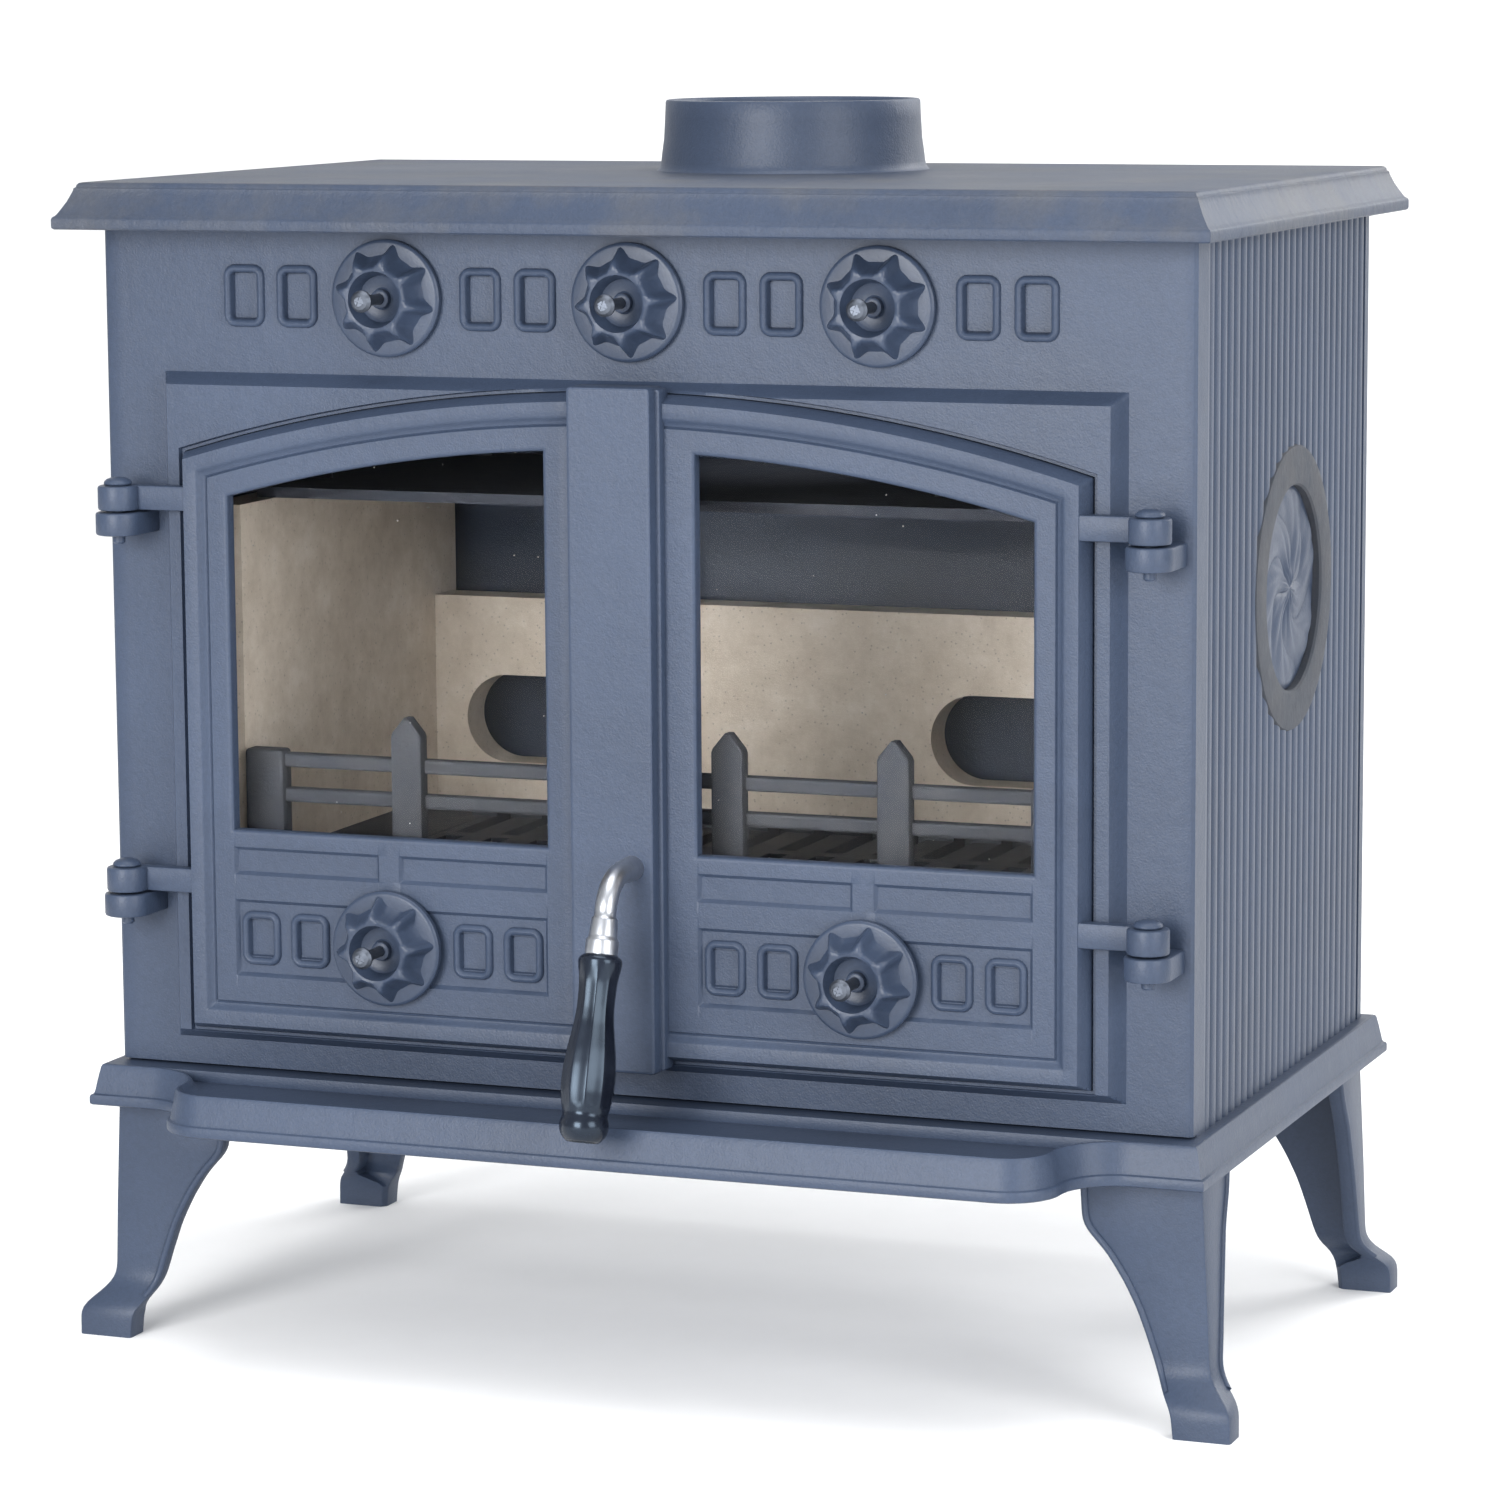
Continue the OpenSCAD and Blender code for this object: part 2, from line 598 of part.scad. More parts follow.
module gasket(s) color("#3a3a3a") place() mirrored(s) slab(glass_front, panel_back) difference() {
  window_outline(glass_lap);
  window_outline(0.5);
}
module left_glass_gasket() gasket(-1);
module right_glass_gasket() gasket(1);
clip_y = glass_front + glass_t;
module clips(s) color(steel) place() mirrored(s) clip_spots(0) difference() {
  translate([-9, clip_y, -4.5]) cube([18, clip_t, 17.5]);
  rod_y(2, 0, bar_y);
}
module left_glass_clips() clips(-1);
module right_glass_clips() clips(1);
module clip_screws(s) color(steel) place() mirrored(s) clip_spots(0) {
  rod_y(2, clip_y + clip_t, panel_back - 3);
  rod_y(3.8, clip_y + clip_t + 2.4, clip_y + clip_t);
}
module left_clip_screws() clip_screws(-1);
module right_clip_screws() clip_screws(1);
module door_rope(s, x_in) color(black) place() mirrored(s) slab(-free - 0.1, rim_back - rope_sink) rope_outline(x_in, 0);
module left_door_rope() door_rope(-1, left_in);
module right_door_rope() door_rope(1, right_in);
module pins(s) color(paint) place() mirrored(s) for (z = [hinge_z_upper, hinge_z_lower])
  translate([hinge_x, -hinge_out, z - lug_gap - lug_h - 5]) {
    rod(pin_d / 2, lug_h + lug_gap + strap_h + 5 + 0.4);
    translate([0, 0, lug_h + lug_gap + strap_h + 5 + 0.4]) rotate_extrude($fn = fine)
      polygon([[0, 0], [8, 0], [7.6, 1.6], [5.6, 3.2], [2.8, 4], [0, 4.2]]);
  }
module left_hinge_pins() pins(-1);
module right_hinge_pins() pins(1);

// ---- air wheels ----
module vent_wheel(i) place() at(i * vent_pitch, vent_z) rotate([0, 11 + 13 * i, 0]) air_wheel(0);
module left_vent_wheel() vent_wheel(-1);
module centre_vent_wheel() vent_wheel(0);
module right_vent_wheel() vent_wheel(1);
module door_wheel(s) place() at(s * wheel_x, door_vent_z) rotate([0, 20 - 9 * s, 0]) air_wheel(field_y - seat_t);
module left_door_wheel() door_wheel(-1);
module right_door_wheel() door_wheel(1);
module vent_screws() place() vents() long_screw(0, wall);
module door_screw(s) place() at(s * wheel_x, door_vent_z) long_screw(field_y - seat_t, panel_back);
module left_door_screw() door_screw(-1);
module right_door_screw() door_screw(1);

// ---- handle and latch ----
// Frame of the hanging end of the arm: z runs down the grip's axis.
module arm_end() translate([spindle_x, bar_y - arm_straight - elbow_reach, spindle_z - elbow_drop])
  rotate([180 - grip_tilt, 0, 0]) children();
module handle_arm() color("#c9ccd0") place() difference() {
  union() {
    at(spindle_x, spindle_z) rod_y(spindle_d / 2, 9, bar_y - over);
    at(spindle_x, spindle_z) rod_y(9, bar_y - free, bar_y - 6);
    at(spindle_x, spindle_z) rod_y(6.6, bar_y - 5, bar_y - arm_straight);
    translate([spindle_x, bar_y - arm_straight, spindle_z - elbow_r]) rotate([0, 0, 180]) rotate([0, -90, 0])
      rotate_extrude(angle = 90 - grip_tilt, $fn = fine) translate([elbow_r, 0]) circle(6.6, $fn = fine);
    arm_end() {
      cylinder(r = 6.6, h = ferrule_len, $fn = fine);
      translate([0, 0, -1]) cylinder(r = 7.6, h = grip_at + 1, $fn = fine);
      translate([0, 0, grip_at - 8]) cylinder(r = 8.8, h = 8, $fn = fine);
    }
  }
  arm_end() translate([0, 0, ferrule_len - 14]) cylinder(r = 3, h = 20, $fn = fine);
}
module handle_grip() color(black) place() arm_end() translate([0, 0, grip_at]) difference() {
  r = grip_d / 2;
  union() {
    rotate_extrude($fn = fine) polygon([
      [0, 0], [r * 0.76, 0], [r * 0.81, 2], [r * 0.78, 6], [r * 0.7, grip_len * 0.18], [r * 0.69, grip_len * 0.28],
      [r * 0.78, grip_len * 0.4], [r * 0.92, grip_len * 0.52], [r, grip_len * 0.66], [r * 0.97, grip_len * 0.76],
      [r * 0.84, grip_len * 0.85], [0, grip_len * 0.85]]);
    intersection() {
      translate([0, 0, grip_len - ball_r * 0.6]) sphere(r = ball_r, $fn = fine);
      cylinder(r = ball_r + 1, h = grip_len, $fn = fine);
    }
  }
  translate([0, 0, -over]) cylinder(r = 6.6, h = 10 + over, $fn = fine);
  cylinder(r = 3.4, h = grip_len, $fn = fine);
  translate([0, 0, grip_len - 14]) cylinder(r = 7.5, h = 20, $fn = fine);
}
module grip_screw() color(steel) place() arm_end() difference() {
  union() {
    translate([0, 0, ferrule_len - 14]) cylinder(r = 3, h = grip_at + grip_len - 14 - ferrule_len + 14, $fn = fine);
    translate([0, 0, grip_at + grip_len - 14]) cylinder(r = 5.6, h = 4, $fn = fine);
  }
  for (a = [0, 90]) rotate([0, 0, a]) translate([-3, -0.6, grip_at + grip_len - 12]) cube([6, 1.2, 3]);
}
cam_y = 3;
module latch_cam() color(steel) place() at(spindle_x, spindle_z) difference() {
  slab(cam_y, rim_back + free) union() {
    circle(spindle_d / 2 + 5, $fn = fine);
    translate([-cam_len, -7]) square([cam_len, 14]);
  }
  rod_y(spindle_d / 2, cam_y + over, rim_back - over);
}
module latch_nut() color(steel) place() at(spindle_x, spindle_z) difference() {
  rod_y(spindle_d * 0.85, cam_y + 5, cam_y, 6);
  rod_y(spindle_d / 2, cam_y + 6, cam_y - over);
}

// ---- firebox ----
module side_liner(s) color(board) place() mirrored(s) difference() {
  translate([firebox_w / 2, liner_y[0], bed_z]) cube([liner_t, liner_y[1] - liner_y[0], liner_top - bed_z]);
  translate([firebox_w / 2 - over, liner_y[1], liner_top]) rotate([45, 0, 0])
    translate([0, -6, -6]) cube([liner_t + 2 * over, 12, 12]);
}
module left_liner() side_liner(-1);
module right_liner() side_liner(1);
slot_w = 154;
slot_h = 54;
module back_liner() color(board) place() slab(firebox_d + liner_t, firebox_d) difference() {
  translate([-firebox_w / 2 + 0.2, bed_z]) square([firebox_w - 0.4, back_liner_top - bed_z]);
  for (s = [-1, 1]) translate([s * (firebox_w / 2 - 21 - slot_w / 2), bed_z + 50]) round_rect(slot_w, slot_h, slot_h / 2 - 0.01);
}
module baffle_plate() color(soot) place() difference() {
  translate([-firebox_w / 2 - 12, wall + 60, liner_top]) cube([firebox_w + 24, body_d - wall - 105, 6]);
}
grate_w = firebox_w - 120;
grate_d = firebox_d - 80;
grate_y = fence_y + 34;
module grate_frame() color(soot) place() difference() {
  translate([-body_w / 2 + wall, wall, bed_z - frame_h]) cube([body_w - 2 * wall, body_d - 2 * wall, frame_h]);
  translate([-grate_w / 2, grate_y, bed_z - frame_h - over]) cube([grate_w, grate_d, frame_h + 2 * over]);
  for (s = [-1, 1], y = rod_y) translate([s * rod_x, y, bed_z - frame_h - over])
    cylinder(d = rod_d, h = frame_h + 2 * over, $fn = fine);
}
module fire_grate() color(soot) place() difference() {
  bars = 13;
  pitch = grate_w / bars;
  union() {
    translate([-grate_w / 2 + 1, grate_y + 1, bed_z - frame_h]) cube([grate_w - 2, grate_d - 2, frame_h]);
    translate([-grate_w / 2 - 8, grate_y + 20, bed_z]) cube([grate_w + 16, 14, 5]);
    translate([-grate_w / 2 - 8, grate_y + grate_d - 34, bed_z]) cube([grate_w + 16, 14, 5]);
  }
  for (i = [0:bars - 1], j = [0, 1])
    translate([-grate_w / 2 + (i + 0.5) * pitch - 6, grate_y + 14 + j * (grate_d / 2 - 8), bed_z - frame_h - over])
      cube([12, grate_d / 2 - 20, frame_h + 10]);
}
lift = 0.4;        // gap under the loose fence
module picket() {
  square([22, 78]);
  polygon([[0, 77], [22, 77], [22, 78], [11, 89], [0, 78]]);
}
module fire_fence() color(soot) place() translate([0, 0, lift]) {
  half = firebox_w / 2 - 2;
  for (z = [36, 56]) slab(fence_y + 14, fence_y + 5) translate([-half, bed_z + z]) square([2 * half, 7.5]);
  for (s = [-1, 1]) slab(fence_y + 14, fence_y + 2) translate([s > 0 ? half - 24 : -half, bed_z]) square([24, 66]);
  for (i = [0:pickets - 1]) slab(fence_y + 10, fence_y) translate([(i + 0.5 - pickets / 2) * 2 * half / (pickets + 1.1) - 11, bed_z])
    picket();
}
pan_z = door_z0 + seal_lap + 3;
pan_w = firebox_w - 60;
pan_d = firebox_d - 20;
module ash_pan() color(steel) place() difference() {
  h = bed_z - frame_h - pan_z - 12;
  union() {
    translate([-pan_w / 2, wall + 12, pan_z]) cube([pan_w, pan_d, h]);
    translate([-50, wall + 6, pan_z + h - 12]) cube([100, 8, 8]);
  }
  translate([-pan_w / 2 + 1.5, wall + 13.5, pan_z + 1.5]) cube([pan_w - 3, pan_d - 3, h]);
}
module ash_pan_rails() color(steel) place() for (s = [-1, 1]) mirrored(s) {
  translate([pan_w / 2 - 30, wall, 0]) cube([5, body_d - 2 * wall, pan_z]);
  translate([pan_w / 2 - 30, wall, pan_z - 4]) cube([36, body_d - 2 * wall, 4]);
}

base_plate();
leg_front_left();
leg_front_right();
leg_rear_left();
leg_rear_right();
leg_bolts();
front_plate();
left_side_plate();
right_side_plate();
back_plate();
top_plate();
tie_rods();
flue_collar();
collar_bolts();
rear_blanking_plate();
blanking_bolts();
left_door();
right_door();
left_glass();
right_glass();
left_glass_gasket();
right_glass_gasket();
left_glass_clips();
right_glass_clips();
left_clip_screws();
right_clip_screws();
left_door_rope();
right_door_rope();
left_hinge_pins();
right_hinge_pins();
left_vent_wheel();
centre_vent_wheel();
right_vent_wheel();
left_door_wheel();
right_door_wheel();
vent_screws();
left_door_screw();
right_door_screw();
handle_arm();
handle_grip();
grip_screw();
latch_cam();
latch_nut();
left_liner();
right_liner();
back_liner();
baffle_plate();
grate_frame();
fire_grate();
fire_fence();
ash_pan();
ash_pan_rails();
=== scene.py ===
"""Wood burning stove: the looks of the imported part, built as numpy surfaces around its frame."""

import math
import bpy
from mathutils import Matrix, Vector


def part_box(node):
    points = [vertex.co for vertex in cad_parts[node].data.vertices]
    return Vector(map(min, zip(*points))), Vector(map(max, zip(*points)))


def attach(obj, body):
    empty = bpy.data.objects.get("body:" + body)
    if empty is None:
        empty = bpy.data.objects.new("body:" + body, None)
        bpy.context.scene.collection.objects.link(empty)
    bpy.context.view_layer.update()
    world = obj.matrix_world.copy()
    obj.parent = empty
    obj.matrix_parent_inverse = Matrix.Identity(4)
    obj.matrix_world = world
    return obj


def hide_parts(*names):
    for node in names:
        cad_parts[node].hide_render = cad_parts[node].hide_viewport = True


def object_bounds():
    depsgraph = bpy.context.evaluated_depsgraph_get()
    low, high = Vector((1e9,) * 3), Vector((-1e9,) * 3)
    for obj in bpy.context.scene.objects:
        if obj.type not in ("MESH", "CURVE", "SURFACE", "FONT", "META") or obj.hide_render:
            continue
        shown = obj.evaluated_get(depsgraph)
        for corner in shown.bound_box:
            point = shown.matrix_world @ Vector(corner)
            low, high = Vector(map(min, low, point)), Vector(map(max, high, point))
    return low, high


bl_info = {
    "name": "Wood burning stove",
    "version": (1, 0, 0),
    "blender": (4, 5, 0),
    "location": "3D View > Sidebar > Stove",
    "description": "Cast iron double-door stove with air wheels, handle, legs and firebox",
    "category": "Add Mesh",
}

import bpy
import numpy as np
from bpy.props import FloatProperty, FloatVectorProperty, IntProperty, PointerProperty
from mathutils import Matrix

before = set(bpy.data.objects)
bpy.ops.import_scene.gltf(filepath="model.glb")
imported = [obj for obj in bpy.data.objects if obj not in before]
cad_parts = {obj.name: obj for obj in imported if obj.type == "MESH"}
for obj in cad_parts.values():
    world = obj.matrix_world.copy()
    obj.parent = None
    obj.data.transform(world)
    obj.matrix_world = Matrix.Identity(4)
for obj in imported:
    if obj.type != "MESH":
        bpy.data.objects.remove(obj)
CAD_BOX = [[float(c) for c in corner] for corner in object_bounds()]

MM = 0.001
TAU = 2 * math.pi
BODY_D = 356.0
_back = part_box("back_plate")
# Where the middle of the body's bottom front edge lies in the row frame, in metres.
DATUM = np.array([0.0, _back[1][1] - BODY_D * MM, _back[0][2]])

# Sizes in millimetres, measured from the datum: x to the right, y to the back, z up.
BODY_HALF = 320.0
BODY_H = 478.0
DOOR_HALF = 266.5
DOOR_Z0 = 25.5
ARCH_TOP = 392.5
ARCH_RISE = 39.0
ARCH_R = (DOOR_HALF**2 + ARCH_RISE**2) / (2 * ARCH_RISE)
ARCH_Z = ARCH_TOP - ARCH_R
OPENING_IN = 14.5
WINDOW = (44.5, 236.5, 141.5)
WINDOW_R = ARCH_R - 31.0
FACE_Y = -12.0
BORDER_Y = -22.0
FIELD_Y = -19.0
PANEL_BACK = -11.0
RIM_BACK = -4.0
BAR_Y = -33.0
WHEEL_X = 140.5
VENT_Z = 441.0
VENT_PITCH = 144.0
DOOR_VENT_Z = 80.0
HINGE = (302.0, -24.0)
HINGE_Z = (321.0, 104.0)
FLUE_Y = 253.5


# ---------------------------------------------------------------- surfaces

def ramp(d, a, b):
    """Smooth rise from 0 at d = a to 1 at d = b."""
    t = np.clip((d - a) / (b - a), 0.0, 1.0)
    return t * t * (3 - 2 * t)


def slope(d, a, b):
    """Straight rise from 0 at d = a to 1 at d = b."""
    return np.clip((d - a) / (b - a), 0.0, 1.0)


def grid_lines(low, high, edges, step):
    """Grid positions from low to high: five across each edge (start, width), none further apart than step."""
    marks = [low, high]
    for start, width in edges:
        marks += [start + width * t for t in (0.0, 0.2, 0.5, 0.8, 1.0)]
    marks = np.unique(np.round([m for m in marks if low <= m <= high], 3))
    fill = [np.linspace(a, b, max(1, math.ceil((b - a) / step)), endpoint=False)
            for a, b in zip(marks, marks[1:])]
    return np.append(np.concatenate(fill), high)


def volume(points, faces):
    """Signed volume inside a closed shell, from fans of triangles."""
    total = 0.0
    for block in faces:
        a = points[block[:, 0]]
        for k in range(1, block.shape[1] - 1):
            total += np.einsum("ij,ij->", a, np.cross(points[block[:, k]], points[block[:, k + 1]]))
    return total


def outwards(points, faces):
    """The shell with its faces turned outwards."""
    centred = points - points.mean(axis=0)
    if volume(centred, faces) < 0:
        faces = [block[:, ::-1] for block in faces]
    return points, faces


def loft(rings, closed=False):
    """Closed skin through rings of points (n rings, m points, 3), with capped or joined ends."""
    rings = np.asarray(rings, float)
    n, m = rings.shape[:2]
    index = np.arange(n * m).reshape(n, m)
    if closed:
        index = np.vstack([index, index[:1]])
    a, b = index[:-1], index[1:]
    quads = np.stack([a, np.roll(a, -1, 1), np.roll(b, -1, 1), b], -1).reshape(-1, 4)
    faces = [quads]
    if not closed:
        faces += [index[0][::-1][None, :], index[-1][None, :]]
    return outwards(rings.reshape(-1, 3), faces)


def relief(front, back, keep):
    """Closed plate between two grids of points (v, u, 3) over the cells in keep, walled round every edge."""
    nv, nu = front.shape[:2]
    f = np.arange(nv * nu).reshape(nv, nu)
    b = f + nv * nu
    cell = [f[:-1, :-1], f[:-1, 1:], f[1:, 1:], f[1:, :-1]]
    faces = [np.stack([c[keep] for c in cell], -1), np.stack([c[keep] + nv * nu for c in cell[::-1]], -1)]
    k = np.pad(keep, 1)
    for axis in (0, 1):
        if axis == 0:
            low, high, p, q = k[:-1, 1:-1], k[1:, 1:-1], (f[:, :-1], b[:, :-1]), (f[:, 1:], b[:, 1:])
        else:
            low, high, q, p = k[1:-1, :-1], k[1:-1, 1:], (f[:-1], b[:-1]), (f[1:], b[1:])
        up = high & ~low
        down = low & ~high
        faces.append(np.stack([q[0][up], p[0][up], p[1][up], q[1][up]], -1))
        faces.append(np.stack([p[0][down], q[0][down], q[1][down], p[1][down]], -1))
    quads = np.concatenate(faces)
    points = np.concatenate([front.reshape(-1, 3), back.reshape(-1, 3)])
    used, inverse = np.unique(quads, return_inverse=True)
    return outwards(points[used], [inverse.reshape(quads.shape)])


def circle(n, phase=0.0):
    """Angles of n points round a circle."""
    return np.arange(n) * TAU / n + phase


def revolve(profile, centre, axis="z", n=64, closed=False, wobble=None):
    """Skin of revolution: profile points (radius, height) turned about an axis through centre.

    wobble(angle, k) gives the factor on ring k's radius at each angle.
    """
    angle = circle(n)
    rings = []
    for k, (r, h) in enumerate(profile):
        radius = np.full(n, max(r, 1e-3)) if wobble is None else r * wobble(angle, k)
        u, v, w = radius * np.cos(angle), radius * np.sin(angle), np.full(n, float(h))
        rings.append(np.stack({"z": (u, v, w), "y": (u, -w, v), "x": (w, u, v)}[axis], -1))
    return loft(np.array(rings) + np.array(centre, float), closed)


def rounded_outline(width, height, radius, n=6):
    """Anticlockwise points of a rounded rectangle about the origin, as (u, v)."""
    turn = np.linspace(0, math.pi / 2, n)
    corners = []
    for k, (sx, sy) in enumerate([(1, 1), (-1, 1), (-1, -1), (1, -1)]):
        c = np.array([sx * (width / 2 - radius), sy * (height / 2 - radius)])
        a = turn + k * math.pi / 2
        corners.append(c + radius * np.stack([np.cos(a), np.sin(a)], -1))
    return np.concatenate(corners)


def rectangle(width, low, high):
    """Anticlockwise corners of a rectangle, centred on u = 0."""
    return np.array([[-width / 2, low], [width / 2, low], [width / 2, high], [-width / 2, high]], float)


def shrink(outline, distance):
    """An anticlockwise outline moved inwards by a distance, along the mean normal of each point's edges."""
    before = outline - np.roll(outline, 1, 0)
    after = np.roll(outline, -1, 0) - outline
    unit = lambda v: v / np.maximum(np.linalg.norm(v, axis=1, keepdims=True), 1e-9)
    a, b = unit(before), unit(after)
    na, nb = np.stack([-a[:, 1], a[:, 0]], -1), np.stack([-b[:, 1], b[:, 0]], -1)
    mean = na + nb
    scale = 2.0 / np.maximum((mean**2).sum(1, keepdims=True), 0.5)
    return outline + mean * scale * distance


def moulding(outline, profile):
    """Outline carried up a profile of (inset, height): a slab with a moulded edge, lying flat."""
    rings = []
    for inset, height in profile:
        flat = shrink(outline, inset)
        rings.append(np.column_stack([flat, np.full(len(flat), float(height))]))
    return np.array(rings)


def split_edges(rings, count):
    """Rings with every edge cut into equal parts."""
    ends = np.roll(rings, -1, 1)
    steps = (np.arange(count) / count)[None, None, :, None]
    return (rings[:, :, None] + (ends - rings)[:, :, None] * steps).reshape(len(rings), -1, 3)


def slab(outline, low, high, soften=0.8):
    """Flat slab with softened top and bottom edges; a level margin keeps each flat face evenly shaded."""
    margin = soften + 0.5
    return loft(moulding(outline, [(margin, low), (soften, low), (soften * 0.3, low + soften * 0.3),
                                   (0, low + soften), (0, high - soften),
                                   (soften * 0.3, high - soften * 0.3), (soften, high), (margin, high)]))


def stand_up(shell, centre, depth=0.0):
    """Turns a flat shell (u, v, w) upright: u to x, v to z, w forwards, about a centre in x and z."""
    points, faces = shell
    moved = np.stack([points[:, 0] + centre[0], depth - points[:, 2], points[:, 1] + centre[1]], -1)
    return outwards(moved, faces)


def mirror_x(shell, side):
    """The shell for the right side (1) or its mirror image for the left (-1)."""
    points, faces = shell
    return outwards(points * np.array([side, 1, 1]), faces)


def tube(path, radii, n=24, across=(1.0, 0.0, 0.0)):
    """Round tube along a path in the plane square to the direction across, with a radius at each point."""
    path = np.asarray(path, float)
    tangent = np.gradient(path, axis=0)
    tangent /= np.linalg.norm(tangent, axis=1, keepdims=True)
    side = np.array(across)
    up = np.cross(side, tangent)
    angle = circle(n)
    ring = np.cos(angle)[None, :, None] * side + np.sin(angle)[None, :, None] * up[:, None, :]
    return loft(path[:, None, :] + ring * np.asarray(radii, float)[:, None, None])


def make_piece(name, shells, material, body, replaced=(), crease=38.0):
    """One object from closed shells in millimetres from the datum, for a body and the nodes it replaces."""
    points, faces, start = [], [], 0
    for shell_points, shell_faces in shells:
        points.append(shell_points)
        for block in shell_faces:
            faces += (block + start).tolist()
        start += len(shell_points)
    mesh = bpy.data.meshes.new(name)
    mesh.from_pydata((np.concatenate(points) * MM + DATUM).tolist(), [], faces)
    mesh.validate()
    mesh.shade_smooth()
    mesh.set_sharp_from_angle(angle=math.radians(crease))
    mesh.materials.append(material)
    obj = bpy.data.objects.new(name, mesh)
    bpy.context.scene.collection.objects.link(obj)
    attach(obj, body)
    if replaced:
        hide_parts(*replaced)
    return obj


# ---------------------------------------------------------------- materials

class Recipe:
    """A node material in the making: short calls for the nodes that these finishes share."""

    def __init__(self, name):
        self.material = bpy.data.materials.new(name)
        self.material.use_nodes = True
        self.tree = self.material.node_tree
        self.shader = self.tree.nodes["Principled BSDF"]
        self.position = self.tree.nodes.new("ShaderNodeTexCoord").outputs["Object"]

    def node(self, kind, **values):
        made = self.tree.nodes.new(kind)
        for key, value in values.items():
            setattr(made, key, value)
        return made

    def link(self, a, b):
        self.tree.links.new(a, b)

    def stretched(self, scale):
        """Position squeezed by a factor on each axis."""
        mapping = self.node("ShaderNodeMapping")
        mapping.inputs["Scale"].default_value = scale
        self.link(self.position, mapping.inputs["Vector"])
        return mapping.outputs["Vector"]

    def noise(self, scale, detail=4.0, rough=0.6, where=None):
        made = self.node("ShaderNodeTexNoise")
        made.inputs["Scale"].default_value = scale
        made.inputs["Detail"].default_value = detail
        made.inputs["Roughness"].default_value = rough
        self.link(where or self.position, made.inputs["Vector"])
        return made.outputs["Fac"]

    def spots(self, scale, where=None):
        made = self.node("ShaderNodeTexVoronoi")
        made.inputs["Scale"].default_value = scale
        self.link(where or self.position, made.inputs["Vector"])
        return made.outputs["Distance"]

    def curve(self, source, stops):
        """Colour or grey ramp of a source: stops are (position, colour)."""
        made = self.node("ShaderNodeValToRGB")
        band = made.color_ramp
        for k, (at, colour) in enumerate(stops):
            item = band.elements[k] if k < 2 else band.elements.new(at)
            item.position = at
            item.color = (*colour, 1.0) if len(colour) == 3 else colour
        self.link(source, made.inputs["Fac"])
        return made.outputs["Color"]

    def grey(self, source, low, high, a=0.0, b=1.0):
        """Source from a..b carried to low..high."""
        made = self.node("ShaderNodeMapRange")
        for key, value in zip(("From Min", "From Max", "To Min", "To Max"), (a, b, low, high)):
            made.inputs[key].default_value = value
        self.link(source, made.inputs["Value"])
        return made.outputs["Result"]

    def mix(self, factor, a, b, blend="MIX"):
        made = self.node("ShaderNodeMix", data_type="RGBA", blend_type=blend)
        self.link(factor, made.inputs[0])
        for socket, value in ((made.inputs[6], a), (made.inputs[7], b)):
            if isinstance(value, (tuple, list)):
                socket.default_value = (*value, 1.0)
            else:
                self.link(value, socket)
        return made.outputs[2]

    def bump(self, source, strength, distance, under=None):
        made = self.node("ShaderNodeBump")
        made.inputs["Strength"].default_value = strength
        made.inputs["Distance"].default_value = distance
        self.link(source, made.inputs["Height"])
        if under is not None:
            self.link(under, made.inputs["Normal"])
        return made.outputs["Normal"]

    def set(self, **values):
        """Sets or links the shader's sockets; an underscore in a name stands for a space."""
        for key, value in values.items():
            socket = self.shader.inputs[key.replace("_", " ")]
            if isinstance(value, bpy.types.NodeSocket):
                self.link(value, socket)
            else:
                socket.default_value = value
        return self.material


def tint(colour, factor):
    """Colour scaled by a factor."""
    return tuple(min(1.0, c * factor) for c in colour)


def painted_iron(name, colour, worn, grain=0.45, pits=0.35, rough=(0.36, 0.52), wear=(0.55, 0.75, 0.55)):
    """Matt paint on sand-cast iron: cloudy tone, faint worn patches, sand grain and shallow pits."""
    r = Recipe(name)
    cloud = r.noise(7.0, 5.0, 0.55)
    fine = r.noise(420.0, 3.0, 0.7)
    tone = r.curve(cloud, [(0.32, tint(colour, 0.88)), (0.7, tint(colour, 1.1))])
    patch = r.curve(r.noise(16.0, 6.0, 0.65), [(wear[0], (0, 0, 0)), (wear[1], (wear[2],) * 3)])
    tone = r.mix(patch, tone, worn)
    speck = r.curve(fine, [(0.3, (0.82, 0.82, 0.82)), (0.65, (1.06, 1.06, 1.06))])
    made = r.node("ShaderNodeMix", data_type="RGBA", blend_type="MULTIPLY")
    made.inputs[0].default_value = 0.6
    r.link(tone, made.inputs[6])
    r.link(speck, made.inputs[7])
    sand = r.bump(r.noise(900.0, 2.0, 0.6), grain, 0.0004)
    cast = r.bump(r.noise(60.0, 4.0, 0.6), pits, 0.0012, sand)
    return r.set(Base_Color=made.outputs[2], Roughness=r.grey(cloud, *rough), Normal=cast,
                 Specular_IOR_Level=0.32)


def bare_iron(name, colour, brown):
    """Uncoated or burnt casting: dark, blotched towards brown, with a coarse skin."""
    r = Recipe(name)
    blotch = r.curve(r.noise(30.0, 6.0, 0.7), [(0.4, colour), (0.72, brown)])
    skin = r.bump(r.noise(260.0, 5.0, 0.7), 0.6, 0.0008)
    return r.set(Base_Color=blotch, Roughness=r.grey(r.noise(90.0), 0.55, 0.85), Normal=skin,
                 Specular_IOR_Level=0.35)


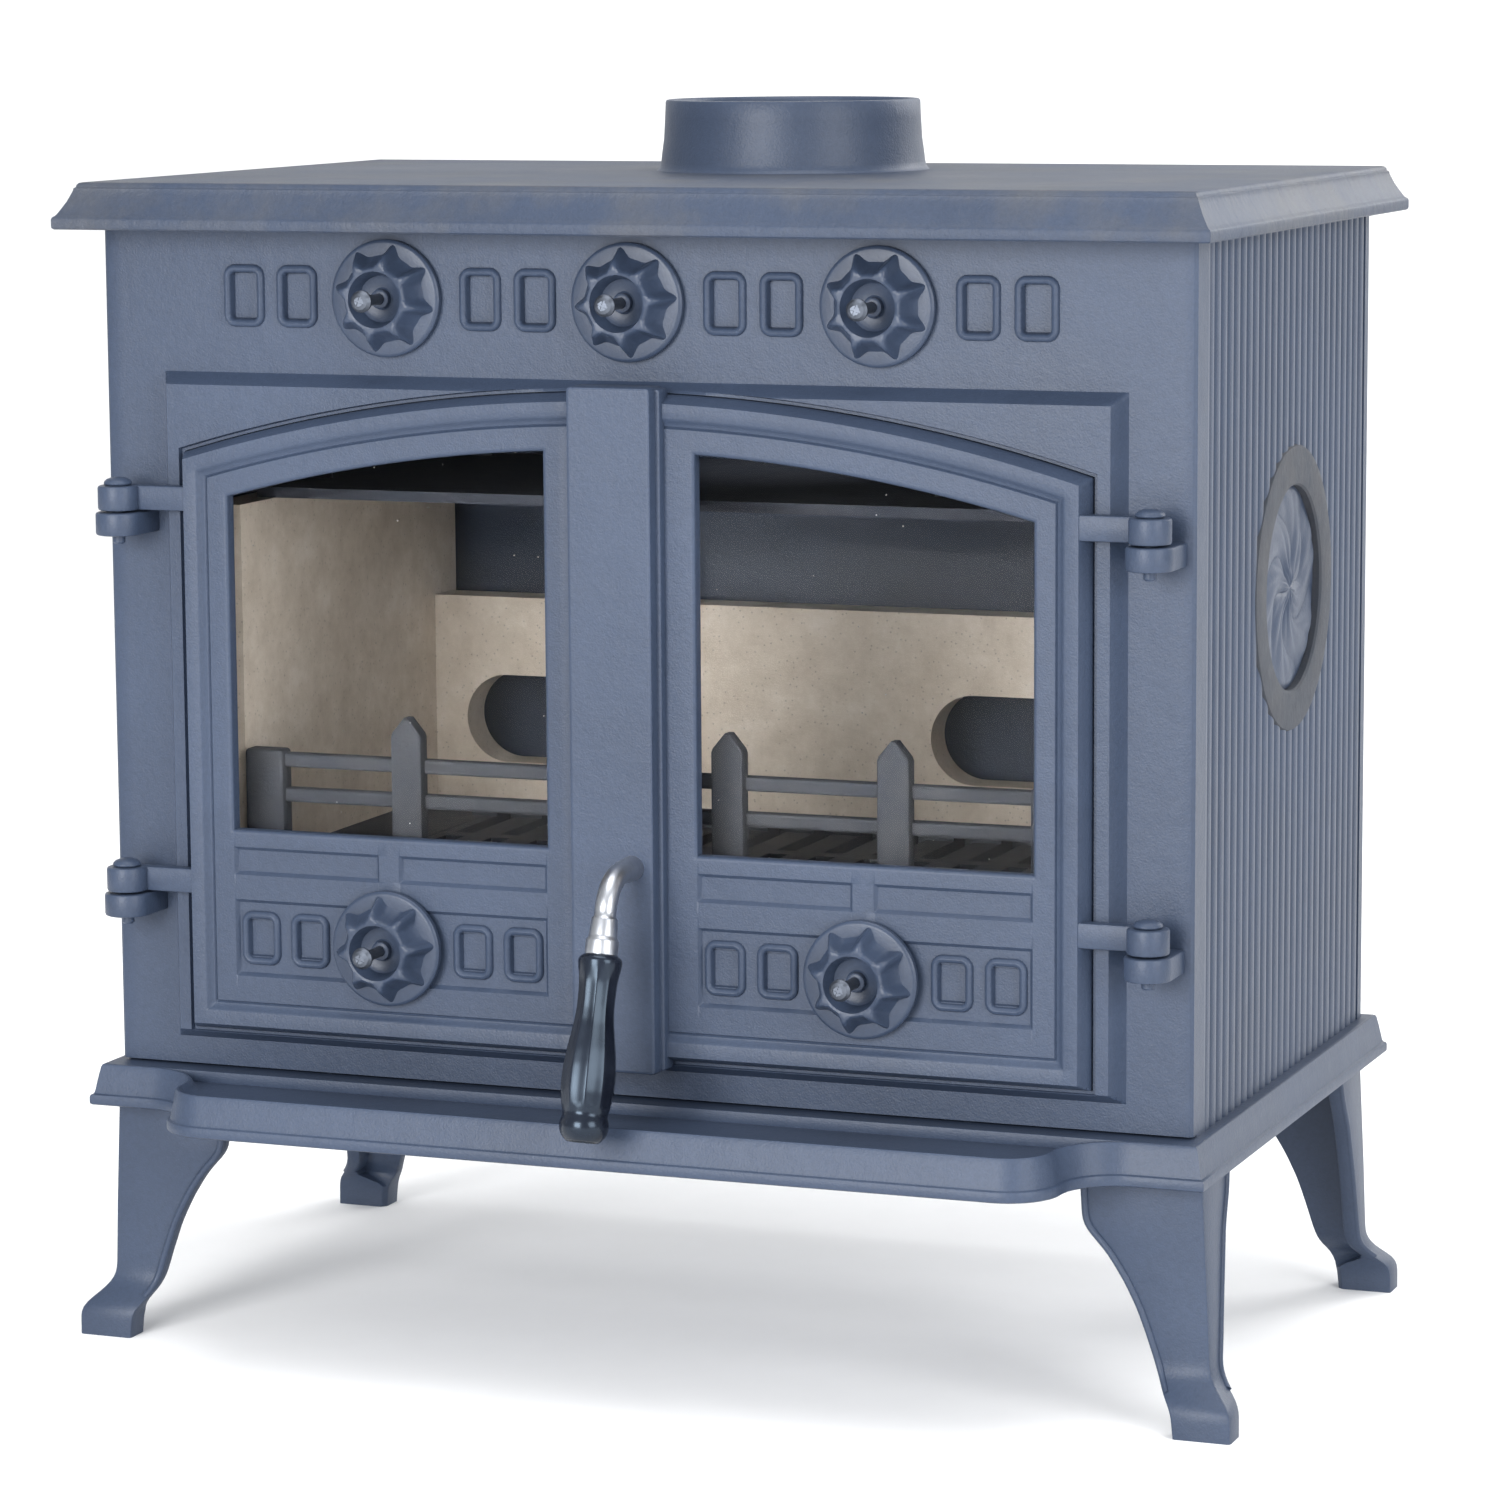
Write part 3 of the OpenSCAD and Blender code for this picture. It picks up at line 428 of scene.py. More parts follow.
def turned_steel(name, colour, rough, along=(1.0, 1.0, 30.0)):
    """Steel with fine drawn lines along the piece and faint handling marks."""
    r = Recipe(name)
    lines = r.noise(300.0, 3.0, 0.6, r.stretched(along))
    tone = r.curve(lines, [(0.3, tint(colour, 0.86)), (0.7, colour)])
    return r.set(Base_Color=tone, Metallic=1.0, Roughness=r.grey(r.noise(50.0), rough * 0.7, rough * 1.3),
                 Normal=r.bump(lines, 0.15, 0.0002))


def grip_plastic():
    """Glossy black moulded plastic with a hint of flow marks."""
    r = Recipe("black_grip_gloss")
    flow = r.noise(45.0, 3.0, 0.5, r.stretched((1.0, 1.0, 0.35)))
    tone = r.curve(flow, [(0.35, (0.004, 0.005, 0.009)), (0.7, (0.012, 0.015, 0.024))])
    return r.set(Base_Color=tone, Roughness=r.grey(flow, 0.18, 0.26), Specular_IOR_Level=0.4,
                 Specular_Tint=(0.62, 0.8, 1.0, 1.0),
                 Normal=r.bump(flow, 0.05, 0.0005))


def fire_board():
    """Pressed vermiculite board: sandy tan, drawn grain, glinting and dark flakes."""
    r = Recipe("fire_board_tan")
    grain = r.noise(34.0, 6.0, 0.75)
    tone = r.curve(grain, [(0.3, (0.58, 0.50, 0.41)), (0.55, (0.71, 0.63, 0.535)),
                           (0.75, (0.82, 0.75, 0.67))])
    flake = r.curve(r.spots(260.0), [(0.06, (0.5, 0.5, 0.5)), (0.2, (1.0, 1.0, 1.0))])
    mixed = r.node("ShaderNodeMix", data_type="RGBA", blend_type="MULTIPLY")
    mixed.inputs[0].default_value = 0.7
    r.link(tone, mixed.inputs[6])
    r.link(flake, mixed.inputs[7])
    return r.set(Base_Color=mixed.outputs[2], Roughness=r.grey(grain, 0.6, 0.85),
                 Normal=r.bump(r.noise(500.0), 0.4, 0.0005))


def dusty_glass():
    """Clear ceramic glass with specks of dust and faint wiping marks."""
    r = Recipe("ceramic_glass_dusty")
    dust = r.curve(r.spots(95.0), [(0.030, (0.75, 0.75, 0.75)), (0.045, (0.0, 0.0, 0.0))])
    rare = r.curve(r.noise(40.0), [(0.5, (0, 0, 0)), (0.6, (1, 1, 1))])
    speck = r.node("ShaderNodeMix", data_type="RGBA", blend_type="MULTIPLY")
    speck.inputs[0].default_value = 1.0
    r.link(dust, speck.inputs[6])
    r.link(rare, speck.inputs[7])
    wipe = r.noise(14.0, 5.0, 0.6)
    clear = r.grey(speck.outputs[2], 1.0, 0.0)
    return r.set(Base_Color=r.curve(wipe, [(0.3, (0.95, 0.94, 0.93)), (0.8, (0.98, 0.98, 0.98))]), IOR=1.12,
                 Roughness=r.grey(wipe, 0.0, 0.03, 0.4, 0.9), Transmission_Weight=clear,
                 Specular_IOR_Level=0.5)


def knitted_rope():
    """Dark knitted glass fibre: slanted stitches in relief."""
    r = Recipe("knitted_fibre")
    weave = r.node("ShaderNodeTexWave", wave_type="BANDS", bands_direction="DIAGONAL")
    weave.inputs["Scale"].default_value = 160.0
    weave.inputs["Distortion"].default_value = 3.0
    r.link(r.position, weave.inputs["Vector"])
    tone = r.curve(weave.outputs["Fac"], [(0.2, (0.02, 0.02, 0.022)), (0.8, (0.10, 0.10, 0.105))])
    return r.set(Base_Color=tone, Roughness=0.95, Sheen_Weight=0.3,
                 Normal=r.bump(weave.outputs["Fac"], 0.7, 0.0008))


def studio_floor(colour):
    """Pale seamless paper with a faint tooth."""
    r = Recipe("studio_paper")
    tooth = r.noise(30.0, 4.0)
    return r.set(Base_Color=r.curve(tooth, [(0.3, tint(colour, 0.985)), (0.7, colour)]), Roughness=0.9,
                 Specular_IOR_Level=0.1)


PALETTE = {}


def finish(name):
    """The finish of that name, made once."""
    looks = bpy.context.scene.stove_looks
    paint = tuple(looks.paint)
    makers = {
        "paint": lambda: painted_iron("casting_paint", paint, tint(paint, 1.18)),
        "top": lambda: painted_iron("casting_top", tint(paint, 0.92), (0.06, 0.064, 0.074), 0.7, 0.9,
                                    (0.42, 0.62), (0.42, 0.66, 0.7)),
        "wheel": lambda: painted_iron("casting_wheel", tint(paint, 0.9), tint(paint, 1.2), 0.25, 0.2,
                                      (0.31, 0.44)),
        "soot": lambda: bare_iron("casting_dark", (0.036, 0.043, 0.058), (0.058, 0.062, 0.071)),
        "shade": lambda: bare_iron("casting_in_shade", (0.03, 0.038, 0.056), (0.045, 0.05, 0.066)),
        "ring": lambda: bare_iron("casting_ring", (0.034, 0.04, 0.053), (0.046, 0.048, 0.056)),
        "board": fire_board,
        "glass": dusty_glass,
        "rope": knitted_rope,
        "steel": lambda: turned_steel("zinc_steel", (0.56, 0.56, 0.57), 0.32),
        "zinc": lambda: turned_steel("dull_zinc", (0.12, 0.135, 0.165), 0.45),
        "polished": lambda: turned_steel("polished_steel", (0.5, 0.52, 0.56), 0.34, (1.0, 1.0, 0.1)),
        "grip": grip_plastic,
    }
    if name not in PALETTE:
        PALETTE[name] = makers[name]()
    return PALETTE[name]


def dress(finish_name, *nodes):
    """Gives CAD nodes a finish; their shape stays."""
    for node in nodes:
        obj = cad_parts[node]
        if not obj.material_slots:
            obj.data.materials.append(None)
        for item in obj.material_slots:
            item.material = finish(finish_name)


# ---------------------------------------------------------------- shared shapes

def port_frame(x, z, width, height, seat):
    """Rounded frame round a port: a half-round section, 4 mm wide, carried round a rounded rectangle."""
    sizes = bpy.context.scene.stove_sizes
    half = sizes.port_rim / MM / 2
    rings = []
    for angle in np.linspace(0, math.pi, 7):
        out = half * math.cos(angle)
        path = shrink(rounded_outline(width - 2 * half, height - 2 * half, 4.5), -out)
        rings.append(np.column_stack([path, np.full(len(path), 2.9 * math.sin(angle))]))
    for out in (-half, half):
        path = shrink(rounded_outline(width - 2 * half, height - 2 * half, 4.5), -out)
        rings.append(np.column_stack([path, np.full(len(path), -3.5)]))
    return stand_up(loft(np.array(rings), closed=True), (x, z), seat)


def pan_relief(x, z, cx, cz, width, height, wall):
    """1 inside a sunk rectangle, 0 outside, with sloped walls."""
    inside = np.minimum(width / 2 - np.abs(x - cx), height / 2 - np.abs(z - cz))
    return slope(inside, 0, wall)


def edge_marks(cx, width, wall):
    """The two wall strips of a sunk rectangle along one axis."""
    return [(cx - width / 2, wall), (cx + width / 2 - wall, wall)]


def arc_height(x, radius):
    """Height of the concentric arch of that radius at x."""
    return ARCH_Z + np.sqrt(radius**2 - x**2)


DOOR_PORTS = [s * 192 * 0.34 + t * 15.25 for s in (-1, 1) for t in (-1, 1)]


def door_plate(inner, side):
    """Door as a relief over x and height: bevelled border, groove, window, sunk bars and a sunk lower panel.

    Grid lines run level below the window and bend into the arch's circles above it.
    """
    bars = [(WHEEL_X + s * 51.0, 124.0, 90.0, 16.0) for s in (-1, 1)]
    border = [(0.0, 4.2), (11.5, 4.8), (16.3, 1.6)]
    xs = [(DOOR_HALF - a - w, w) for a, w in border]
    xs += [(WINDOW[0] - 2.4, 2.4), (WINDOW[1], 2.4), (DOOR_HALF - 13.2, 0.2)]
    xs += edge_marks(WHEEL_X, 192, 2.0) + [m for b in bars for m in edge_marks(b[0], b[2], 2.0)]
    xs += [m for d in DOOR_PORTS for m in edge_marks(WHEEL_X + d, 15.0, 0.6)]
    inner_marks = [(inner, 1.0), (inner + 7.9, 0.2)]
    x = grid_lines(inner, DOOR_HALF, xs + inner_marks, 9.0)
    zs = [(DOOR_Z0 + a, w) for a, w in border] + [(DOOR_Z0 + 13, 0.2), (WINDOW[2] - 2.4, 2.4)]
    zs += edge_marks(DOOR_VENT_Z, 44, 2.0) + edge_marks(124.0, 16, 2.0) + edge_marks(DOOR_VENT_Z, 21.0, 0.6)
    low = grid_lines(DOOR_Z0, WINDOW[2], zs, 9.0)
    rs = [(ARCH_R - a - w, w) for a, w in border] + [(WINDOW_R, 2.4), (ARCH_R - 13.2, 0.2)]
    high = grid_lines(WINDOW_R, ARCH_R, rs, 5.0)
    middle = np.linspace(0, 1, 14)[1:-1]
    X = np.broadcast_to(x, (len(low) + len(middle) + len(high), len(x)))
    foot = arc_height(x, WINDOW_R)
    Z = np.concatenate([np.repeat(low[:, None], len(x), 1),
                        WINDOW[2] + middle[:, None] * (foot - WINDOW[2]),
                        ARCH_Z + np.sqrt(high[:, None] ** 2 - x**2)])
    radial = ARCH_R - np.hypot(X, Z - ARCH_Z)
    d = np.minimum(np.minimum(DOOR_HALF - X, Z - DOOR_Z0), radial)
    front = FACE_Y + (BORDER_Y - FACE_Y) * (0.85 * slope(d, 0, 4.2) + 0.15 * ramp(d, 0, 3.0))
    front = front + (FIELD_Y - BORDER_Y) * ramp(d, 11.5, 16.3)
    front = front + 0.9 * (ramp(d, 16.3, 16.9) - ramp(d, 17.1, 17.9))
    away = np.maximum(np.maximum(WINDOW[0] - X, X - WINDOW[1]), np.maximum(WINDOW[2] - Z, 0.0))
    away = np.maximum(away, np.hypot(X, Z - ARCH_Z) - WINDOW_R)
    front = front + 1.5 * (1 - np.sqrt(1 - (1 - slope(away, 0, 2.4)) ** 2 + 1e-9))
    for bx, bz, w, h in bars:
        front = front + 2.2 * pan_relief(X, Z, bx, bz, w, h, 2.0)
    front = front + 2.2 * pan_relief(X, Z, WHEEL_X, DOOR_VENT_Z, 192, 44, 2.0)
    for dx in DOOR_PORTS:
        front = front + 2.2 * pan_relief(X, Z, WHEEL_X + dx, DOOR_VENT_Z, 15.0, 21.0, 0.6)
    front = front + 1.2 * (1 - ramp(X - inner, 0, 1.0)) * (1 if inner > 0 else 0)
    rim = np.minimum(d - 13.0, X - inner - 8.0)
    back = np.where(rim > 0.1, PANEL_BACK, RIM_BACK)
    mid_x, mid_z = (X[:-1, :-1] + X[1:, 1:]) / 2, (Z[:-1, :-1] + Z[1:, 1:]) / 2
    hole = (mid_x > WINDOW[0]) & (mid_x < WINDOW[1]) & (mid_z > WINDOW[2])
    hole &= np.hypot(mid_x, mid_z - ARCH_Z) < WINDOW_R
    shell = relief(np.stack([X, front, Z], -1), np.stack([X, back, Z], -1), ~hole)
    return mirror_x(shell, side)


def strap(side, low, height=14.0):
    """Door hinge strap: a flat arm that runs into a round boss, in plan, given some height."""
    cx, cy = HINGE
    turn = np.radians(np.linspace(114.0, -192.6, 40))
    boss = np.stack([cx + 11.5 * np.cos(turn), cy + 11.5 * np.sin(turn)], -1)
    arm = np.array([[256.0, -21.5], [256.0, -13.5]])
    outline = np.concatenate([arm, boss])[::-1]
    return mirror_x(slab(outline, low, low + height, 1.4), side)


def lug(side, low, height=13.0):
    """Hinge lug on the front plate: a block with a round nose, in plan."""
    cx, cy = HINGE
    turn = np.radians(np.linspace(0.0, -180.0, 30))
    nose = np.stack([cx + 13.0 * np.cos(turn), cy + 13.0 * np.sin(turn)], -1)
    outline = np.concatenate([nose, [[cx - 13.0, 2.0], [cx + 13.0, 2.0]]])[::-1]
    return mirror_x(slab(outline, low, low + height, 1.4), side)


def air_wheel(name, body, node, x, z, seat, turn):
    """Air wheel about a level axis: flat rim, then a hollow hand grip with ridges between scallops.

    Each ring's radius swells by a bell curve round every ridge; the rings join end to end through the bore.
    """
    count = bpy.context.scene.stove_sizes.wheel_ridges
    angle = circle(count * 20)
    place = (angle * count / TAU) % 1.0 - 0.5
    ridge = np.exp(-(place / 0.17) ** 2)
    steps = [(3.1, 0, 0, 0), (31.7, 0, 0, 0), (32.5, 0, 0.8, 0), (32.5, 0, 3.6, 0), (31.6, 0, 4.7, 0),
             (30.4, 0, 5.0, 0), (23.9, 6.2, 5.0, 0), (22.9, 5.9, 6.3, 0.9), (21.3, 5.4, 9.2, 2.0),
             (19.6, 4.8, 13.2, 2.2), (18.4, 3.8, 17.0, 1.2), (17.6, 2.6, 18.5, 0.5), (16.8, 1.2, 19.0, 0),
             (15.6, 0, 18.6, 0), (14.0, 0, 13.0, 0), (12.9, 0, 8.6, 0), (11.2, 0, 7.4, 0), (6.3, 0, 7.0, 0),
             (5.5, 0, 7.6, 0), (5.2, 0, 11.4, 0), (4.4, 0, 12.0, 0), (3.1, 0, 12.0, 0)]
    rings = []
    for radius, swell, height, lift in steps:
        r = radius + swell * ridge
        h = height + lift * ridge
        a = angle + math.radians(turn)
        rings.append(np.stack([x + r * np.cos(a), seat - 0.5 - h, z + r * np.sin(a)], -1))
    return make_piece(name, [loft(np.array(rings), closed=True)], finish("wheel"), body, (node,))


def leg_shell():
    """Front right leg: an L section carried down its height, whose corner and edges follow smooth curves.

    Below the ankle the inside of the L fills in to a solid foot.
    """
    z = np.linspace(-161.5, -23.5, 53)

    def follow(heights, values):
        """Smoothed line through values at heights, averaged with its neighbours three times."""
        line = np.interp(z, heights, values)
        for _ in range(3):
            line[1:-1] = (line[:-2] + 2 * line[1:-1] + line[2:]) / 4
        return line

    xc = follow([-161.5, -146, -143, -137, -131, -126, -85, -55, -23.5],
                [345.5, 345.5, 343.5, 336.0, 331.0, 329.6, 328.0, 326.5, 325.0])
    yc = follow([-161.5, -146, -143, -137, -131, -126, -60, -23.5], [-13, -13, -11.5, -4, 1, 2.5, 2, 2])
    xi = follow([-161.5, -146, -137, -131, -110, -95, -80, -66, -60, -52, -49, -23.5],
                [313.0, 311.5, 304.0, 301.0, 294.0, 288.5, 281.0, 272.0, 267.0, 259.0, 257.5, 256.0])
    ys = follow([-161.5, -146, -143, -137, -131, -120, -87, -54, -36, -23.5],
                [6, 6, 9, 16, 22, 26, 32, 40, 49, 52])
    solid = slope(-z, 139.0, 147.0)
    t = 8.0
    lerp = lambda a, b: a + (b - a) * solid
    corners = np.stack([
        np.stack([xi, yc], -1), np.stack([xc, yc], -1), np.stack([xc, ys], -1),
        np.stack([lerp(xc - t, xi + 3.0), ys], -1),
        np.stack([lerp(xc - t, xi + 1.5), lerp(yc + t, ys - 1.5)], -1),
        np.stack([xi, lerp(yc + t, ys - 3.0)], -1)], 1)
    before, after = np.roll(corners, 1, 1), np.roll(corners, -1, 1)
    unit = lambda v: v / np.linalg.norm(v, axis=2, keepdims=True)
    cut = np.minimum(np.linalg.norm(before - corners, axis=2),
                     np.linalg.norm(after - corners, axis=2))[..., None]
    cut = np.minimum(cut * 0.4, 1.8)
    a, b = corners + unit(before - corners) * cut, corners + unit(after - corners) * cut
    ring = np.stack([a, (a + b + 2 * corners) / 4, b], 2).reshape(len(z), -1, 2)
    body = loft(np.concatenate([ring, np.broadcast_to(z[:, None, None], (*ring.shape[:2], 1))], 2))
    run = (z > -138) & (z < -25)
    bead = np.full(run.sum(), 2.1)
    front = tube(np.stack([xi, yc + 0.4, z], -1)[run] + [2.4, 0, 0], bead, 12, (0.0, 1.0, 0.0))
    side = tube(np.stack([xc - 0.4, ys, z], -1)[run] - [0, 2.4, 0], bead, 12)
    return [body, front, side]


class StoveSizes(bpy.types.PropertyGroup):
    """Sizes of the fine castings that can be changed without touching the frame."""
    port_rim: FloatProperty(name="Port rim", description="Width of the raised rim round a port",
                            default=0.0045, min=0.003, max=0.006, unit="LENGTH")
    rib_height: FloatProperty(name="Reeding", description="Height of the reeding on the side plates",
                              default=0.0026, min=0.001, max=0.003, unit="LENGTH")
    ribs: IntProperty(name="Reeds", description="Number of reeds on each side plate",
                      default=26, min=16, max=40)
    wheel_ridges: IntProperty(name="Wheel ridges", description="Ridges round an air wheel",
                              default=8, min=6, max=12)
    flutes: IntProperty(name="Grip flutes", description="Flutes round the door grip",
                        default=10, min=6, max=16)


class StoveLooks(bpy.types.PropertyGroup):
    """Colours that a user would change."""
    paint: FloatVectorProperty(name="Paint", description="Colour of the painted castings", subtype="COLOR",
                               size=3, min=0.0, max=1.0, default=(0.034, 0.049, 0.084))
    floor: FloatVectorProperty(name="Floor", description="Colour of the studio floor", subtype="COLOR",
                               size=3, min=0.0, max=1.0, default=(0.95, 0.95, 0.95))


class StoveOperator(bpy.types.Operator):
    """Base of the operators that build one piece or a group of like pieces."""
    bl_options = {"REGISTER", "UNDO"}

    def execute(self, context):
        self.build(context.scene.stove_sizes)
        return {"FINISHED"}


class STOVE_OT_top_plate(StoveOperator):
    """Top plate: rings from the collar's round hole out to the moulded nosing and back"""
    bl_idname = "stove.top_plate"
    bl_label = "Top plate"

    def build(self, sizes):
        profile = [(9.0, 478.0), (1.2, 478.0), (0.2, 478.8), (0.0, 480.0), (0.0, 483.6), (0.5, 484.8),
                   (1.8, 485.6), (2.6, 486.6), (4.2, 489.2), (6.6, 493.2), (8.6, 497.6), (9.4, 499.6),
                   (9.5, 500.6), (10.6, 501.4), (10.9, 502.6), (11.8, 503.6), (13.4, 504.0), (20.0, 504.0)]
        nosing = split_edges(moulding(rectangle(672.0, -32.0, 386.0), profile), 48)
        away = nosing[-1, :, :2] - [0.0, FLUE_Y]
        hole = [0.0, FLUE_Y] + 77.4 * away / np.linalg.norm(away, axis=1, keepdims=True)
        rims = [np.column_stack([hole, np.full(len(hole), h)]) for h in (478.0, 504.0)]
        rings = np.concatenate([rims[:1], nosing, rims[1:]])
        make_piece("top_plate_casting", [loft(rings, closed=True)], finish("top"), "stove_body",
                   ("top_plate",))


class STOVE_OT_flue_collar(StoveOperator):
    """Flue collar: one section with a fillet at its foot, turned about the flue's axis"""
    bl_idname = "stove.flue_collar"
    bl_label = "Flue collar"

    def build(self, sizes):
        section = [(68.6, 491.0), (99.0, 491.0), (99.0, 495.8), (77.2, 495.8), (77.2, 503.6), (80.0, 503.9),
                   (79.0, 504.7), (77.9, 506.4), (77.3, 509.0), (76.6, 515.0), (75.6, 522.0), (74.9, 534.0),
                   (74.5, 543.6), (73.9, 544.7), (72.8, 545.0), (70.2, 545.0), (69.2, 544.4), (68.6, 543.0)]
        collar = revolve(section, (0.0, FLUE_Y, 0.0), n=144, closed=True)
        make_piece("flue_collar_casting", [collar], finish("paint"), "stove_body", ("flue_collar",))


class STOVE_OT_base_plate(StoveOperator):
    """Base plate: one moulding round a rectangle and the ash lip, and the seat of the body"""
    bl_idname = "stove.base_plate"
    bl_label = "Base plate and ash lip"

    def build(self, sizes):
        edge = [(1.2, -23.5), (0.2, -22.8), (0.0, -21.6), (0.0, -18.8), (0.5, -17.6), (1.9, -16.9),
                (2.4, -15.5), (4.0, -7.0), (5.2, -1.6), (5.9, -0.4)]
        rim = edge + [(7.0, -0.3), (8.2, -1.4), (9.2, -3.4), (10.4, -5.2), (12.4, -6.2), (15.5, -6.6)]
        turn = np.linspace(0.0, math.pi / 2, 16)
        convex = np.stack([233 + 30 * np.sin(turn), -50 - 30 * np.cos(turn)], -1)
        concave = np.stack([293 - 30 * np.cos(turn), -50 + 30 * np.sin(turn)], -1)
        right = np.concatenate([convex, concave[1:], [[332.0, -20.0], [332.0, 373.0]]])
        tray = loft(moulding(dense(np.concatenate([right, (right * [-1, 1])[::-1]]), 30.0), rim))
        seat = slab(rectangle(651.4, -13.7, 366.7), -8.0, 0.0)
        make_piece("base_plate_casting", [tray, seat], finish("paint"), "stove_body", ("base_plate",))


class STOVE_OT_legs(StoveOperator):
    """Legs: one splayed leg and its three mirror images"""
    bl_idname = "stove.legs"
    bl_label = "Legs"

    def build(self, sizes):
        shells = leg_shell()
        for side, side_word in ((-1, "left"), (1, "right")):
            for front, depth_word in ((True, "front"), (False, "rear")):
                placed = [mirror_x(shell, side) for shell in shells]
                if not front:
                    placed = [outwards(p * [1, -1, 1] + [0, 340.0, 0], f) for p, f in placed]
                node = f"leg_{depth_word}_{side_word}"
                make_piece(node + "_casting", placed, finish("paint"), "stove_body", (node,))


class STOVE_OT_front_plate(StoveOperator):
    """Front plate: a relief with a bevelled surround, a door pocket, an arched opening and ports"""
    bl_idname = "stove.front_plate"
    bl_label = "Front plate"

    def build(self, sizes):
        ports = [i * VENT_PITCH + s * 16.3 for i in (-1.5, -0.5, 0.5, 1.5) for s in (-1, 1)]
        pocket = [(0.4, 0.2), (2.2, 0.8)]
        marks = [(276.5, 6.5), (318.0, 2.0), (DOOR_HALF - OPENING_IN, 0.0)]
        marks += [(DOOR_HALF + a, w) for a, w in pocket]
        marks += [m for p in ports if p > 0 for m in edge_marks(p, 16.0, 0.5)]
        half = grid_lines(0.0, BODY_HALF, marks, 10.0)
        x = np.concatenate([-half[:0:-1], half])
        rows = [(17.0, 6.5), (DOOR_Z0 + OPENING_IN, 0.0)] + [(DOOR_Z0 - a - w, w) for a, w in pocket]
        low = grid_lines(1.4, 150.0, rows, 9.0)
        across = np.ones_like(x)
        radii = grid_lines(ARCH_R - OPENING_IN, ARCH_R + 3.0, [(ARCH_R + a, w) for a, w in pocket], 4.0)
        arcs = ARCH_Z + np.sqrt(radii[:, None] ** 2 - x**2)
        rise = np.linspace(0, 1, 16)[1:-1, None]
        shoulder = np.maximum(391.5, arcs[-1] + 0.4)
        lift = np.linspace(0, 1, 10)[1:-1, None]
        bevel = np.linspace(0, 1, 6)[:, None]
        upper = grid_lines(398.0, BODY_H, edge_marks(VENT_Z, 26.0, 0.5), 10.0)[1:]
        Z = np.concatenate([low[:, None] * across, 150.0 + rise * (arcs[0] - 150.0), arcs,
                            arcs[-1] + lift * (shoulder - arcs[-1]), shoulder + bevel * (398.0 - shoulder),
                            upper[:, None] * across])
        X = np.broadcast_to(x, Z.shape)
        pad = np.minimum(np.minimum(283.0 - np.abs(X), Z - 17.0), 398.0 - Z)
        y = FACE_Y * (0.8 * slope(pad, 0, 6.5) + 0.2 * ramp(pad, 0, 6.5))
        gap = np.maximum(np.maximum(np.abs(X) - DOOR_HALF, DOOR_Z0 - Z), np.hypot(X, Z - ARCH_Z) - ARCH_R)
        ledge = -9.0 * slope(gap, 0.4, 0.6) - 3.0 * slope(gap, 2.2, 3.0)
        y = np.where(gap < 3.0, np.maximum(y, ledge), y)
        for px in ports:
            y = y + 3.2 * pan_relief(X, Z, px, VENT_Z, 16.0, 26.0, 0.5)
        y = y + 1.5 * (1 - ramp(BODY_HALF - np.abs(X), 0, 2.0))
        mid_x, mid_z = (X[:-1, :-1] + X[1:, 1:]) / 2, (Z[:-1, :-1] + Z[1:, 1:]) / 2
        hole = (np.abs(mid_x) < DOOR_HALF - OPENING_IN) & (mid_z > DOOR_Z0 + OPENING_IN)
        hole &= np.hypot(mid_x, mid_z - ARCH_Z) < ARCH_R - OPENING_IN
        plate = relief(np.stack([X, y, Z], -1), np.stack([X, np.full(X.shape, 8.0), Z], -1), ~hole)
        frames = [port_frame(px, VENT_Z, 25.0, 35.0, 0.0) for px in ports]
        lugs = [lug(side, low_z - 14.0) for side in (-1, 1) for low_z in HINGE_Z]
        make_piece("front_plate_casting", [plate, *frames, *lugs], finish("paint"), "stove_body",
                   ("front_plate",))


